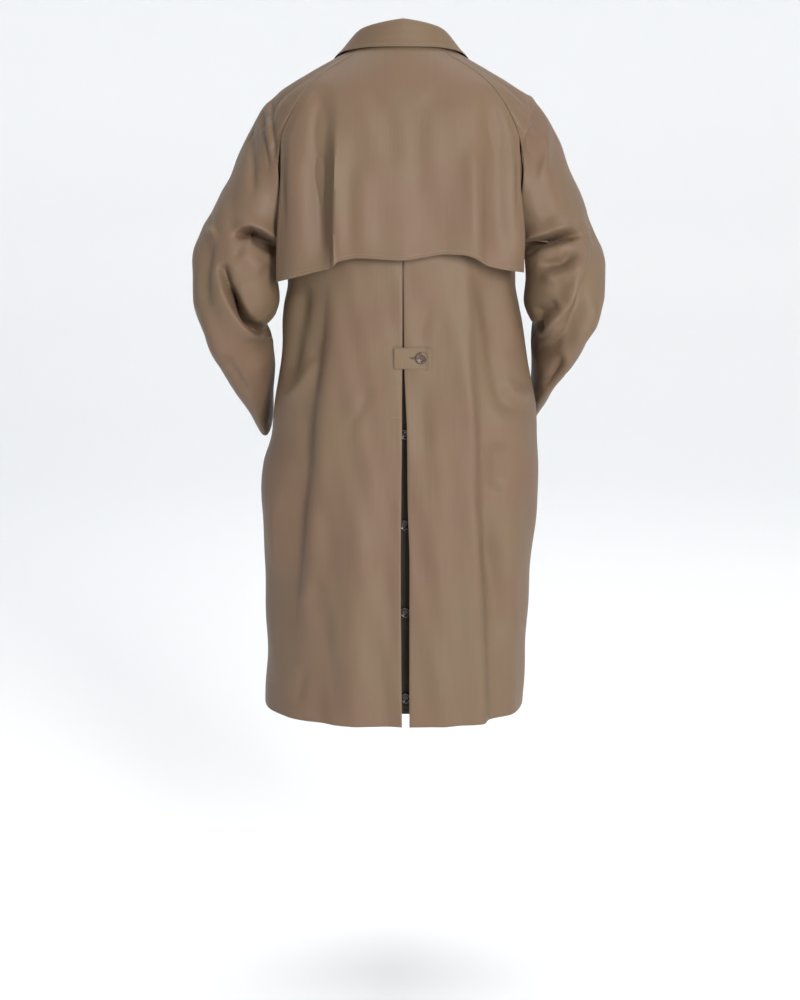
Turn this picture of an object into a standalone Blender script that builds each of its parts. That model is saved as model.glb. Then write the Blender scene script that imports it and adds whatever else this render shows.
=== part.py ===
"""A balmacaan coat in its full, worn form, with both forearms brought forward to the pockets.

Metres, +Z up. +X is the coat's right side, +Y its front. The origin is the middle of the
neck opening, level with the seam that joins the collar to the centre back.
Each cut piece of cloth is a wall between an outer grid of points and the same grid moved in.
"""
import math

import bmesh
import bpy
import numpy as np
from mathutils import Vector
from mathutils.bvhtree import BVHTree

# Driving sizes
CLOTH = 0.002  # thickness of the cloth's wall, two layers of gabardine at the edges
SEAM = 0.0003  # space between pieces that meet
LENGTH = 1.070  # centre back, neck seam to hem
UNDERARM = 0.320  # depth of the armhole below the neck seam
BUTTON_ACROSS = 0.018
TAB_LONG = 0.058
TAB_HIGH = 0.033

QUARTER = math.pi / 2
TINY = 1e-4  # step for slopes
NECK_EDGE = 0.0006  # how far below the neck seam the cloth starts


def table(names, *rows):
    """A table with one named column for each word of names."""
    return {name: np.array(column, float) for name, column in zip(names.split(), zip(*rows))}


# The body's rings, in mm, from the neck seam down. A ring's sides, back and front can differ in height.
BODY = table(
    "down side_z back_z front_z left right back front square",
    (0, -4, 0, -70, 70, 66, 62, 76, 2.0),
    (25, -22, -24, -92, 104, 98, 83, 94, 2.1),
    (50, -42, -50, -112, 148, 140, 99, 108, 2.2),
    (80, -68, -82, -140, 198, 190, 113, 120, 2.35),
    (120, -105, -122, -170, 226, 219, 126, 131, 2.5),
    (180, -172, -182, -212, 226, 219, 138, 141, 2.5),
    (250, -248, -252, -262, 208, 201, 146, 147, 2.45),
    (320, -320, -320, -320, 189, 182, 150, 150, 2.4),
    (375, -375, -375, -375, 185, 179, 151, 150, 2.4),
    (413, -413, -413, -413, 193, 187, 151, 149, 2.4),
    (468, -468, -468, -468, 199, 200, 152, 149, 2.4),
    (548, -548, -548, -548, 207, 213, 153, 149, 2.4),
    (611, -611, -611, -611, 213, 219, 154, 149, 2.4),
    (669, -669, -669, -669, 228, 221, 155, 150, 2.35),
    (732, -732, -732, -732, 232, 220, 157, 151, 2.3),
    (851, -851, -851, -851, 227, 209, 160, 153, 2.3),
    (979, -979, -979, -979, 226, 204, 163, 155, 2.3),
    (1070, -1070, -1070, -1070, 230, 200, 165, 157, 2.3),
)

# The yoke hangs from the shoulders, so its rings don't grow narrower below them.
CAPE = {
    **BODY,
    "left": np.maximum.accumulate(BODY["left"]),
    "right": np.maximum.accumulate(BODY["right"]),
}

# The raglan seams, in mm: how far from the middle each lies, on the back and on the front.
RAGLAN = table(
    "down back_left back_right front",
    (0, 55, 51, 50),
    (25, 82, 75, 68),
    (50, 116, 109, 92),
    (80, 147, 139, 118),
    (120, 172, 164, 142),
    (160, 190, 181, 160),
    (210, 198, 190, 172),
    (265, 197, 190, 181),
    (320, 189, 182, 189),
)

# The two edges of the centre back vent, in mm from the middle.
VENT = table(
    "down left right",
    (0, -0.15, 0.15),
    (440, -0.15, 0.15),
    (500, -0.5, 1.5),
    (547, -1, 4),
    (599, -2, 6),
    (704, -3, 7),
    (800, -4, 10),
    (1070, -2, 10),
)

# Where the side seams lie, in degrees round from the centre back.
SIDE_SEAM = table("down angle", (320, 90), (430, 85), (1070, 84))

# A sleeve's rings, in mm: the outer and the inner edge as seen from behind, the middle's place to the front,
# half the ring's depth, and how square it is.
SLEEVE_COLUMNS = "ring outer_x outer_z inner_x inner_z middle_y depth square"
LEFT_SLEEVE = table(
    SLEEVE_COLUMNS,
    (1.0, -253, -160, -203, -330, 2, 97, 2.1),
    (2.0, -291, -235, -204, -348, -8, 92, 2.1),
    (3.0, -322, -294, -202, -372, -20, 88, 2.1),
    (4.0, -336, -345, -198, -400, -30, 84, 2.1),
    (5.0, -334, -400, -203, -424, -33, 80, 2.1),
    (6.0, -321, -438, -224, -449, -26, 77, 2.1),
    (7.0, -305, -478, -210, -476, -8, 75, 2.1),
    (8.0, -285, -515, -210, -512, 22, 73, 2.1),
    (9.0, -263, -552, -214, -548, 58, 70, 2.1),
    (10.0, -246, -582, -217, -580, 94, 67, 2.1),
)
RIGHT_SLEEVE = table(
    SLEEVE_COLUMNS,
    (1.0, 250, -163, 197, -330, 2, 97, 2.1),
    (2.0, 281, -232, 198, -348, -8, 92, 2.1),
    (3.0, 304, -292, 196, -372, -20, 88, 2.1),
    (4.0, 322, -348, 193, -400, -30, 84, 2.1),
    (5.0, 321, -392, 199, -424, -33, 80, 2.1),
    (6.0, 298, -431, 212, -449, -22, 77, 2.1),
    (7.0, 273, -468, 209, -474, 6, 75, 2.1),
    (8.0, 258, -505, 212, -501, 44, 72, 2.1),
    (9.0, 248, -536, 214, -530, 84, 69, 2.1),
    (10.0, 238, -560, 216, -556, 120, 66, 2.1),
)
NECK_SHARE = 0.4  # radians of a sleeve's first ring that lie along the neck, on each side of its top
SEAM_PACE = 0.62  # how fast the rest of the ring runs down the raglan seam

# The sleeve's head: for degrees round the sleeve, how far its cloth runs on straight from the raglan seam and
# into its second ring, as shares of the distance between them. Large shares make the shoulder's square turn.
CAP = table("turn leave arrive", (0, 2.3, 1.15), (23, 1.85, 1.1), (45, 1.3, 1), (75, 1.0, 1), (180, 1, 1))
HEAD_RINGS = (0, 0.10, 0.22, 0.36, 0.52, 0.68, 0.84, 1.0)

# The yoke's lower edge, in mm, as seen from behind, and how far it stands off the back there.
YOKE_EDGE = table(
    "across height off",
    (-190, -369, 9),
    (-160, -361, 16),
    (-132, -352, 12),
    (-102, -342, 22),
    (-92, -335, 14),
    (-67, -330, 15),
    (-2, -333, 17),
    (30, -329, 13),
    (60, -324, 15),
    (86, -325, 21),
    (104, -331, 22),
    (124, -342, 14),
    (150, -349, 17),
    (180, -354, 9),
)
YOKE_FREE = 0.160  # the yoke is sewn to the raglan seams down to here
YOKE_SIDE_LEFT = 0.190  # the most that it reaches to each side
YOKE_SIDE_RIGHT = 0.180

# Folds seen from behind, in mm: a fold's height (minus for a trough), its reach to each side, and its line.
BACK_FOLDS = (
    (7, 26, 10, ((-107, -345), (-126, -467), (-139, -557), (-152, -705), (-162, -793), (-174, -930))),
    (-7, 20, 16, ((-152, -370), (-163, -405), (-174, -470), (-192, -528))),
    (4, 16, 14, ((-141, -480), (-188, -560))),
    (8, 20, 12, ((93, -330), (97, -428), (100, -530), (106, -700), (115, -845), (121, -930), (124, -1075))),
    (-9, 16, 24, ((112, -345), (130, -395), (143, -470), (150, -540), (168, -590))),
    (-6, 22, 26, ((146, -620), (150, -690), (140, -780), (150, -900), (156, -1075))),
    (4, 30, 30, ((-60, -700), (-70, -860), (-82, -1075))),
    (4, 26, 26, ((52, -560), (58, -760), (62, -1075))),
    (-4, 20, 20, ((-120, -820), (-136, -930), (-148, -1075))),
)
FRONT_FOLDS = (
    (7, 22, 22, ((-84, -250), (-78, -480), (-72, -760), (-70, -1080))),
    (-6, 20, 20, ((-136, -320), (-128, -430), (-120, -540))),
    (-6, 22, 22, ((-128, -830), (-122, -960), (-118, -1080))),
    (7, 22, 22, ((84, -260), (80, -470), (76, -760), (78, -1080))),
    (-6, 20, 20, ((138, -330), (130, -430), (122, -530))),
    (-6, 22, 22, ((126, -840), (120, -960), (118, -1080))),
)
# Where the forearms press on the body: the same columns, with a line seen square to the YZ plane.
SIDE_FOLDS = ((-12, 44, 44, ((-20, -430), (20, -500), (70, -560), (96, -612))),)
YOKE_FOLDS = (
    (-9, 13, 17, ((-126, -70), (-134, -153), (-136, -242), (-122, -350))),
    (5, 9, 7, ((-104, -190), (-98, -345))),
    (-4, 12, 12, ((-60, -66), (-26, -118), (-12, -200))),
    (-4, 12, 12, ((67, -66), (26, -115), (20, -173), (14, -250))),
    (-8, 14, 15, ((126, -70), (144, -152), (143, -242), (148, -350))),
    (5, 20, 18, ((104, -170), (100, -335))),
)
SLEEVE_BACK_FOLDS = (
    (-5, 12, 12, ((-210, -96), (-206, -140), (-202, -190))),
    (-10, 9, 12, ((-246, -284), (-228, -296), (-203, -312))),
    (-12, 12, 14, ((-290, -345), (-262, -395), (-232, -449))),
    (8, 16, 14, ((-258, -345), (-238, -390), (-216, -425))),
    (-5, 10, 10, ((-322, -240), (-300, -300), (-285, -340))),
    (5, 14, 14, ((-312, -400), (-280, -470), (-262, -540))),
    (-5, 12, 12, ((205, -100), (198, -135), (194, -180))),
    (-11, 10, 12, ((262, -292), (232, -304), (206, -318))),
    (6, 12, 12, ((278, -325), (262, -380), (232, -434))),
    (-9, 10, 14, ((288, -395), (262, -440), (224, -478))),
    (-5, 10, 10, ((236, -340), (262, -322))),
    (-6, 10, 10, ((245, -480), (222, -540))),
)
SLEEVE_FRONT_FOLDS = (
    (-9, 11, 12, ((-262, -270), (-236, -300), (-206, -330))),
    (-9, 11, 12, ((-300, -370), (-262, -410), (-226, -446))),
    (6, 12, 12, ((-300, -330), (-262, -372), (-226, -410))),
    (-5, 12, 12, ((-290, -470), (-262, -520), (-240, -566))),
    (-9, 11, 12, ((258, -268), (232, -298), (202, -330))),
    (-9, 11, 12, ((292, -366), (258, -408), (222, -446))),
    (6, 12, 12, ((292, -326), (258, -368), (222, -408))),
    (-5, 12, 12, ((276, -462), (256, -510), (240, -552))),
)

# The collar's leaf: for degrees round its fold, where its outer edge lies on the body, in degrees and mm down.
LEAF = table(
    "fold edge down",
    (0, 0, 13),
    (40, 38, 13),
    (75, 74, 18),
    (100, 98, 28),
    (125, 118, 45),
    (150, 136, 66),
    (174, 153, 82),
)
STAND = table("angle height lean", (0, 33, 5), (60, 26, 5), (90, 22, 5), (130, 17, 4), (174, 12, 3))
LEAF_OFF = 0.0046  # the leaf's outer face above the cloth that it lies on

# Colours, as on the lit cloth and the horn buttons
TAUPE = (0.240, 0.180, 0.126)
TAUPE_ROUGHNESS = 0.75
HORN = (0.060, 0.035, 0.022)
HORN_ROUGHNESS = 0.35


def smooth(knots, values, at):
    """A smooth curve through a table's column that doesn't swing past its rows."""
    at = np.clip(at, knots[0], knots[-1])
    rise = np.diff(values) / np.diff(knots)
    tangent = np.empty_like(values)
    tangent[0] = rise[0]
    tangent[-1] = rise[-1]
    same_way = rise[:-1] * rise[1:] > 0
    total = np.where(same_way, rise[:-1] + rise[1:], 1.0)
    tangent[1:-1] = np.where(same_way, 2 * rise[:-1] * rise[1:] / total, 0.0)
    i = np.clip(np.searchsorted(knots, at, side="right") - 1, 0, len(knots) - 2)
    step = knots[i + 1] - knots[i]
    t = (at - knots[i]) / step
    start = (1 + 2 * t) * (1 - t) ** 2 * values[i] + t * (1 - t) ** 2 * step * tangent[i]
    end = t * t * (3 - 2 * t) * values[i + 1] + t * t * (t - 1) * step * tangent[i + 1]
    return start + end


def read(rows, name, at):
    """A table's column in metres, at a place in metres down the coat."""
    return smooth(rows["down"] / 1000, rows[name] / 1000, at)


def ease(x, start, end):
    """From 0 at start to 1 at end, softly."""
    t = np.clip((x - start) / (end - start), 0, 1)
    return t * t * (3 - 2 * t)


def unit(vectors):
    return vectors / np.maximum(np.linalg.norm(vectors, axis=-1, keepdims=True), 1e-12)


def facing(surface, a, b, turn):
    """The way a surface faces, from the surface's own slopes."""
    along_a = surface(a + TINY, b) - surface(a - TINY, b)
    along_b = surface(a, b + TINY) - surface(a, b - TINY)
    return unit(np.cross(along_a, along_b)) * turn


FOLD_END = 0.28  # the share of a fold's length over which each of its ends dies away
HEM_LINE = -1060  # a fold that ends below this, in mm, runs on to the hem


def fold_height(points, folds, across=0):
    """How far folds lift or sink the points, seen square to the XZ plane, or to the YZ plane with across=1."""
    spot = points[..., (across, 2)] * 1000
    height = np.zeros(spot.shape[:-1])
    for lift, reach_left, reach_right, line in folds:
        line = np.array(line, float)
        runs = np.diff(line, axis=0)
        lengths = np.linalg.norm(runs, axis=1)
        before = np.concatenate(([0], np.cumsum(lengths)))
        nearest = np.full(height.shape, np.inf)
        side = np.zeros(height.shape)
        place = np.zeros(height.shape)
        for start, run, length, done in zip(line[:-1], runs, lengths, before):
            away = spot - start
            share = np.clip((away @ run) / length**2, 0, 1)
            gap = np.linalg.norm(away - share[..., None] * run, axis=-1)
            closer = gap < nearest
            turned = np.sign(run[0] * away[..., 1] - run[1] * away[..., 0])
            nearest = np.where(closer, gap, nearest)
            side = np.where(closer, turned, side)
            place = np.where(closer, done + share * length, place)
        reach = np.where(side < 0, reach_left, reach_right)
        fade = np.minimum(place, before[-1] - place) / (FOLD_END * before[-1])
        at_hem = line[-1][1] < HEM_LINE
        fade = np.where(at_hem & (place > before[-1] / 2), 1, fade)
        height += lift * np.exp(-((nearest / reach) ** 2)) * ease(fade, -0.15, 1)
    return height / 1000


def plain_body(angle, down, rows=BODY):
    """The body's round form. The angle is 0 at the centre back and grows to the coat's right."""
    sine = np.sin(angle)
    cosine = np.cos(angle)
    across = np.where(sine < 0, read(rows, "left", down), read(rows, "right", down))
    deep = np.where(cosine > 0, read(rows, "back", down), read(rows, "front", down))
    power = read(rows, "square", down) * 1000
    reach = ((np.abs(sine) / across) ** power + (np.abs(cosine) / deep) ** power) ** (-1 / power)
    level = read(rows, "side_z", down)
    end = np.where(cosine > 0, read(rows, "back_z", down), read(rows, "front_z", down))
    height = level + (end - level) * cosine**2
    past = np.maximum(down - LENGTH, 0) + np.minimum(down, 0)
    return np.stack((reach * sine, -reach * cosine, height - past), axis=-1)


def body_out(angle, down):
    return facing(plain_body, angle, down, -1)


def cape(angle, down):
    """The round form that the yoke follows: the body's, but as wide below the shoulders as at them."""
    return plain_body(angle, down, CAPE)


def body(angle, down):
    """The body with its folds, which start under the yoke and under the arms."""
    points = plain_body(angle, down)
    out = body_out(angle, down)
    lift = fold_height(points, BACK_FOLDS) * ease(-out[..., 1], 0.15, 0.6)
    lift = lift + fold_height(points, FRONT_FOLDS) * ease(out[..., 1], 0.15, 0.6)
    lift = lift + fold_height(points, SIDE_FOLDS, across=1) * ease(np.abs(out[..., 0]), 0.3, 0.7)
    return points + out * (lift * ease(down, UNDERARM - 0.05, UNDERARM + 0.05))[..., None]


def angle_at(across, down, front=False, form=plain_body):
    """The angle at which a ring of the body lies this far from the middle, + to the coat's right."""
    low = np.zeros(np.broadcast(across, down).shape)
    high = np.full(low.shape, QUARTER)
    side = np.where(np.asarray(across) < 0, -1.0, 1.0)
    for _ in range(40):
        middle = (low + high) / 2
        turned = math.pi - middle if front else middle
        short = np.abs(form(side * turned, down)[..., 0]) < np.abs(across)
        low = np.where(short, middle, low)
        high = np.where(short, high, middle)
    return side * (math.pi - middle if front else middle)


def seam_angle(side, down, front=False):
    """The raglan seam above the underarm, and the side seam below it. Side is -1 for left and 1 for right."""
    column = "front" if front else ("back_left" if side < 0 else "back_right")
    raglan = np.abs(angle_at(side * read(RAGLAN, column, down), np.minimum(down, UNDERARM), front))
    below = np.radians(smooth(SIDE_SEAM["down"] / 1000, SIDE_SEAM["angle"], down))
    return side * np.where(down < UNDERARM - CLOTH, raglan, below)


def wall(name, outer, out, thickness, colour, roughness):
    """A closed wall of cloth: a grid of outer points, and the same grid moved in along its normals."""
    rows, columns = outer.shape[:2]
    inner = outer - out * thickness
    points = np.concatenate((outer.reshape(-1, 3), inner.reshape(-1, 3)))
    back = rows * columns
    faces = []
    for r in range(rows - 1):
        for c in range(columns - 1):
            a = r * columns + c
            b = a + 1
            d = a + columns
            e = d + 1
            faces += [(a, b, e), (a, e, d), (back + b, back + a, back + e), (back + e, back + a, back + d)]
    edge = [c for c in range(columns)]
    edge += [r * columns + columns - 1 for r in range(1, rows)]
    edge += [(rows - 1) * columns + c for c in range(columns - 2, -1, -1)]
    edge += [r * columns for r in range(rows - 2, 0, -1)]
    for here, there in zip(edge, edge[1:] + edge[:1]):
        faces += [(here, back + here, there), (there, back + here, back + there)]
    return solid(name, points, faces, colour, roughness)


def solid(name, points, faces, colour, roughness):
    """A named object from points and faces, with its faces turned outwards and a material of its own."""
    mesh = bpy.data.meshes.new(name)
    mesh.from_pydata([tuple(p) for p in points], [], faces)
    work = bmesh.new()
    work.from_mesh(mesh)
    bmesh.ops.recalc_face_normals(work, faces=work.faces)
    work.to_mesh(mesh)
    work.free()
    mesh.shade_smooth()
    mesh.set_sharp_from_angle(angle=math.radians(50))
    material = bpy.data.materials.new(name)
    material.use_nodes = True
    shader = material.node_tree.nodes["Principled BSDF"]
    shader.inputs["Base Color"].default_value = (*colour, 1)
    shader.inputs["Roughness"].default_value = roughness
    shader.inputs["Metallic"].default_value = 0
    mesh.materials.append(material)
    piece = bpy.data.objects.new(name, mesh)
    bpy.context.scene.collection.objects.link(piece)
    return piece


def steps(start, end, count):
    return np.linspace(start, end, count + 1)


def body_rows(start, end):
    """Heights for a panel's rows: closer together at the neck and shoulders than in the skirt."""
    marks = np.concatenate((steps(0, 0.12, 5), steps(0.12, UNDERARM, 5)[1:], steps(UNDERARM, LENGTH, 12)[1:]))
    between = marks[(marks > start + 0.006) & (marks < end - 0.006)]
    return np.concatenate(([start], between, [end]))


def trim(side, down, edge_angle, inward):
    """An edge's angle moved in by half a seam's space."""
    turn = 0.01
    ring = np.linalg.norm(plain_body(edge_angle + turn, down) - plain_body(edge_angle, down), axis=-1)
    return edge_angle + side * inward * SEAM / ring * turn


def arm_room(down):
    """The extra trim of a panel's edge at the bottom of the armhole, as shares of half a seam's space."""
    return 1 + 3 * ease(down, 0.15, 0.25) * (1 - ease(down, UNDERARM + 0.01, UNDERARM + 0.06))


def back_inset(down):
    """How far the back lies below the yoke that covers it."""
    return (CLOTH + 4 * SEAM + 0.0015 * ease(down, 0.0, 0.06)) * (1 - ease(down, 0.20, UNDERARM))


def make_back(side, name):
    down = body_rows(NECK_EDGE, LENGTH)
    edge = trim(side, down, seam_angle(side, down), -arm_room(down))
    column = "left" if side < 0 else "right"
    middle = angle_at(read(VENT, column, down), down)
    share = steps(0, 1, 15)
    angle = middle[:, None] + (edge - middle)[:, None] * share[None, :]
    rows = np.broadcast_to(down[:, None], angle.shape)
    points = body(angle, rows)
    out = facing(body, angle, rows, -1)
    wall(name, points - out * back_inset(rows)[..., None], out, CLOTH, TAUPE, TAUPE_ROUGHNESS)


FRONT_LAP = 0.035  # how far each front reaches past the middle


def make_front(side, name):
    down = body_rows(NECK_EDGE, LENGTH)
    edge = trim(side, down, seam_angle(side, down, front=True), arm_room(down))
    past = angle_at(-side * np.minimum(FRONT_LAP, 0.012 + down), down, front=True)
    middle = side * (2 * math.pi - np.abs(past))
    share = steps(0, 1, 12)
    angle = edge[:, None] + (middle - edge)[:, None] * share[None, :]
    rows = np.broadcast_to(down[:, None], angle.shape)
    points = body(angle, rows)
    out = facing(body, angle, rows, -1)
    if side > 0:
        under = 1 - ease(points[..., 0], FRONT_LAP + 0.006, FRONT_LAP + 0.035)
        points = points - out * (under * (CLOTH + 3 * SEAM))[..., None]
    return wall(name, points, out, CLOTH, TAUPE, TAUPE_ROUGHNESS)


def seam_ring(side, around):
    """The sleeve's first ring: along the neck over its top, and down the raglan seams to the underarm."""
    around = np.mod(around, 2 * math.pi)
    front = around > math.pi
    turn = np.where(front, 2 * math.pi - around, around)
    down = UNDERARM * np.clip((turn - NECK_SHARE) / (math.pi - NECK_SHARE), 0, 1) ** SEAM_PACE
    start = np.where(front, seam_angle(side, 0 * down, True), seam_angle(side, 0 * down))
    on_neck = side * QUARTER + (start - side * QUARTER) * np.clip(turn / NECK_SHARE, 0, 1)
    on_seam = np.where(front, seam_angle(side, down, True), seam_angle(side, down))
    return np.where(turn < NECK_SHARE, on_neck, on_seam), down


def sleeve_middle(rows, ring):
    """The middle of a ring of the sleeve, and half of the way across it from there."""
    outer = [smooth(rows["ring"], rows[name] / 1000, ring) for name in ("outer_x", "middle_y", "outer_z")]
    inner = [smooth(rows["ring"], rows[name] / 1000, ring) for name in ("inner_x", "middle_y", "inner_z")]
    outer = np.stack(outer, -1)
    inner = np.stack(inner, -1)
    return (outer + inner) / 2, (outer - inner) / 2


CUFF = 10  # the last ring of a sleeve
RING_STEP = 0.05  # a short step down the sleeve, in rings, for its slope
ROUND_STEP = 0.05  # a short step round the sleeve, in radians, for its slope


def sleeve_section(side, around, ring):
    """A point of the sleeve below the armhole. Around is 0 on the outside, a quarter turn on at the back."""
    rows = LEFT_SLEEVE if side < 0 else RIGHT_SLEEVE
    ring = np.clip(ring, 1, CUFF)
    middle, half = sleeve_middle(rows, ring)
    below = sleeve_middle(rows, np.minimum(ring + RING_STEP, CUFF))[0]
    above = sleeve_middle(rows, np.minimum(ring, CUFF - RING_STEP) - RING_STEP)[0]
    spine = below - above
    back = unit(np.cross(spine, half)) * side
    depth = smooth(rows["ring"], rows["depth"] / 1000, ring)
    power = smooth(rows["ring"], rows["square"], ring)
    cosine = np.cos(around)
    sine = np.sin(around)
    reach = (np.abs(cosine) ** power + np.abs(sine) ** power) ** (-1 / power)
    return middle + half * (reach * cosine)[..., None] + back * (reach * sine * depth)[..., None]


def hermite(t, start, leave, end, arrive):
    first = (1 + 2 * t) * (1 - t) ** 2 * start + t * (1 - t) ** 2 * leave
    return first + t * t * (3 - 2 * t) * end + t * t * (t - 1) * arrive


def under_side(around):
    """1 under the arm, where the sleeve stands out from the body, and 0 over the shoulder."""
    return ease(-np.cos(around), -0.1, 0.6)[..., None]


UNDER_LEAVE = 0.6  # how far outwards the sleeve leaves the underarm, as a share of the way to its first ring


def plain_sleeve(side, around, ring):
    """The sleeve from the raglan seam, ring 0, to the cuff, ring 10."""
    angle, down = seam_ring(side, around)
    start = plain_body(angle, down)
    out = body_out(angle, np.maximum(down, NECK_EDGE))
    first = np.ones_like(ring)
    end = sleeve_section(side, around, first)
    chord = end - start
    length = np.linalg.norm(chord, axis=-1)
    under = under_side(around)
    along_body = chord - out * np.sum(chord * out, axis=-1, keepdims=True) * (1 - under)
    along_body = along_body + out * (length * UNDER_LEAVE)[..., None] * under
    down_arm = sleeve_section(side, around, first + RING_STEP) - end
    turn = np.degrees(np.abs(np.mod(around + math.pi, 2 * math.pi) - math.pi))
    leave = unit(along_body) * (length * smooth(CAP["turn"], CAP["leave"], turn))[..., None]
    arrive = unit(down_arm) * (length * smooth(CAP["turn"], CAP["arrive"], turn))[..., None]
    head = hermite(np.clip(ring, 0, 1)[..., None], start, leave, end, arrive)
    return np.where(ring[..., None] < 1, head, sleeve_section(side, around, ring))


def sleeve_out(side, around, ring):
    """The way the sleeve faces, which is the body's own way at the raglan seam."""
    above = np.maximum(ring - RING_STEP / 2, 0)
    below = np.minimum(ring + RING_STEP / 2, CUFF)
    along = plain_sleeve(side, around, below) - plain_sleeve(side, around, above)
    round_it = plain_sleeve(side, around + ROUND_STEP, ring) - plain_sleeve(side, around - ROUND_STEP, ring)
    free = unit(np.cross(round_it, along)) * side
    angle, down = seam_ring(side, around)
    seam = body_out(angle, np.maximum(down, NECK_EDGE))
    share = np.maximum(ease(ring, 0, 0.5)[..., None], under_side(around))
    return unit(seam * (1 - share) + free * share)


def sleeve(side, around, ring):
    points = plain_sleeve(side, around, ring)
    out = sleeve_out(side, around, ring)
    lift = fold_height(points, SLEEVE_BACK_FOLDS) * ease(-out[..., 1], 0.05, 0.45)
    lift = lift + fold_height(points, SLEEVE_FRONT_FOLDS) * ease(out[..., 1], 0.05, 0.45)
    return points + out * (lift * ease(ring, 0.1, 0.6))[..., None]


# How far the sleeve's edges are moved in, as shares of a seam's space
HEAD_SEAM = 0.7
UNDERARM_SEAM = 4
SIDE_SHARE = 0.6


def make_sleeve(side, front, name):
    """One half of a sleeve, between its top seam and its underarm seam."""
    ring = np.concatenate((HEAD_RINGS, steps(1, CUFF, 16)[1:]))
    down = body_rows(0, UNDERARM)
    on_seam = NECK_SHARE + (math.pi - NECK_SHARE) * (down / UNDERARM) ** (1 / SEAM_PACE)
    around = np.concatenate(([0, NECK_SHARE / 2], on_seam))
    around = 2 * math.pi - around[::-1] if front else around
    around, ring = np.meshgrid(around, ring)
    points = sleeve(side, around, ring)
    out = sleeve_out(side, around, ring)
    off_seam = SEAM * (HEAD_SEAM + UNDERARM_SEAM * under_side(around[0]))
    points[0] += unit(points[1] - points[0]) * off_seam
    points[:, 0] += unit(points[:, 1] - points[:, 0]) * SEAM * SIDE_SHARE
    points[:, -1] += unit(points[:, -2] - points[:, -1]) * SEAM * SIDE_SHARE
    wall(name, points, out, CLOTH, TAUPE, TAUPE_ROUGHNESS)


def yoke_edge(across):
    return -smooth(YOKE_EDGE["across"] / 1000, YOKE_EDGE["height"] / 1000, across)


def make_yoke():
    """The storm yoke: sewn in at the neck and raglan seams, free at its sides and lower edge."""
    share = steps(-1, 1, 32)
    sewn_rows = body_rows(NECK_EDGE, YOKE_FREE)
    free_rows = steps(0, 1, 5)[1:]
    points = []
    outs = []
    for row in range(len(sewn_rows) + len(free_rows)):
        down = np.full(share.shape, sewn_rows[min(row, len(sewn_rows) - 1)])
        for _ in range(4):
            left = np.minimum(read(RAGLAN, "back_left", np.minimum(down, YOKE_FREE)), YOKE_SIDE_LEFT)
            right = np.minimum(read(RAGLAN, "back_right", np.minimum(down, YOKE_FREE)), YOKE_SIDE_RIGHT)
            across = share * (np.where(share < 0, left, right) - SEAM * (1 + 3 * ease(down, 0.05, 0.12)))
            if row >= len(sewn_rows):
                down = YOKE_FREE + free_rows[row - len(sewn_rows)] * (yoke_edge(across) - YOKE_FREE)
        angle = angle_at(across, down, form=cape)
        base = cape(angle, down)
        out = facing(cape, angle, down, -1)
        off = smooth(YOKE_EDGE["across"] / 1000, YOKE_EDGE["off"] / 1000, across)
        off = off * ease(down, 0.09, yoke_edge(across)) + 0.004 * ease(down, 0.03, 0.12)
        near_edge = ease(1 - np.abs(share), 0, 0.10)
        near_edge = np.maximum(near_edge, ease(down, YOKE_FREE, 0.30))
        fold = fold_height(base, YOKE_FOLDS) * near_edge * ease(down, 0.03, 0.10)
        lowest = -back_inset(down) + CLOTH + 2 * SEAM
        lift = np.maximum(off * np.maximum(near_edge, 0.25) + fold, lowest)
        points.append(base + out * lift[..., None])
        outs.append(out)
    wall("back_yoke", np.array(points), np.array(outs), CLOTH, TAUPE, TAUPE_ROUGHNESS)


UNDERLAY_TOP = 0.345
UNDERLAY_END = 1.055
UNDERLAY = table("down depth", (345, 2.6), (420, 5), (520, 11), (640, 18), (800, 23), (1070, 26))


def underlay_face(across, down):
    angle = angle_at(across, down)
    out = body_out(angle, down)
    depth = smooth(UNDERLAY["down"] / 1000, UNDERLAY["depth"] / 1000, down)
    return plain_body(angle, down) - out * depth[..., None], out


def make_underlay():
    """The underlay that closes the centre back vent from inside."""
    across = np.array([-0.048, -0.032, -0.016, 0.003, 0.022, 0.038, 0.054])
    down = steps(UNDERLAY_TOP, UNDERLAY_END, 14)
    across, down = np.meshgrid(across, down)
    points, out = underlay_face(across, down)
    wall("vent_underlay", points, out, CLOTH, TAUPE, TAUPE_ROUGHNESS)


TAB_LEFT = -0.015
TAB_TOP = 0.4665
TAB_OFF = 0.0004


def tab_face(across, down):
    angle = angle_at(across, down)
    rise = 0.0022 * ease(across, 0.032, 0.043)
    out = body_out(angle, down)
    return plain_body(angle, down) + out * (TAB_OFF + CLOTH + rise)[..., None], out


def make_tab():
    """The strap that holds the vent's top shut: sewn down at its left, buttoned at its right."""
    share = np.array([0, 0.12, 0.26, 0.4, 0.55, 0.7, 0.85, 0.93, 0.97, 1.0])
    rounding = 0.006
    across = TAB_LEFT + TAB_LONG * share
    end = TAB_LEFT + TAB_LONG
    short = np.maximum(across - (end - rounding), 0)
    cut = rounding - np.sqrt(np.maximum(rounding**2 - short**2, 0))
    height = np.array([0, 0.25, 0.5, 0.75, 1.0])[:, None]
    down = TAB_TOP + cut + (TAB_HIGH - 2 * cut) * height
    across = np.broadcast_to(across, down.shape)
    points, out = tab_face(across, down)
    wall("vent_tab", points, out, CLOTH, TAUPE, TAUPE_ROUGHNESS)


BUTTON_PROFILE = table(
    "radius height",
    (0.0, 1.5),
    (4.6, 1.5),
    (5.6, 2.6),
    (7.0, 3.2),
    (8.4, 2.8),
    (9.0, 1.8),
    (8.6, 0.5),
    (7.6, 0.0),
    (0.0, 0.0),
)
BUTTON_SIDES = 16


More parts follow.
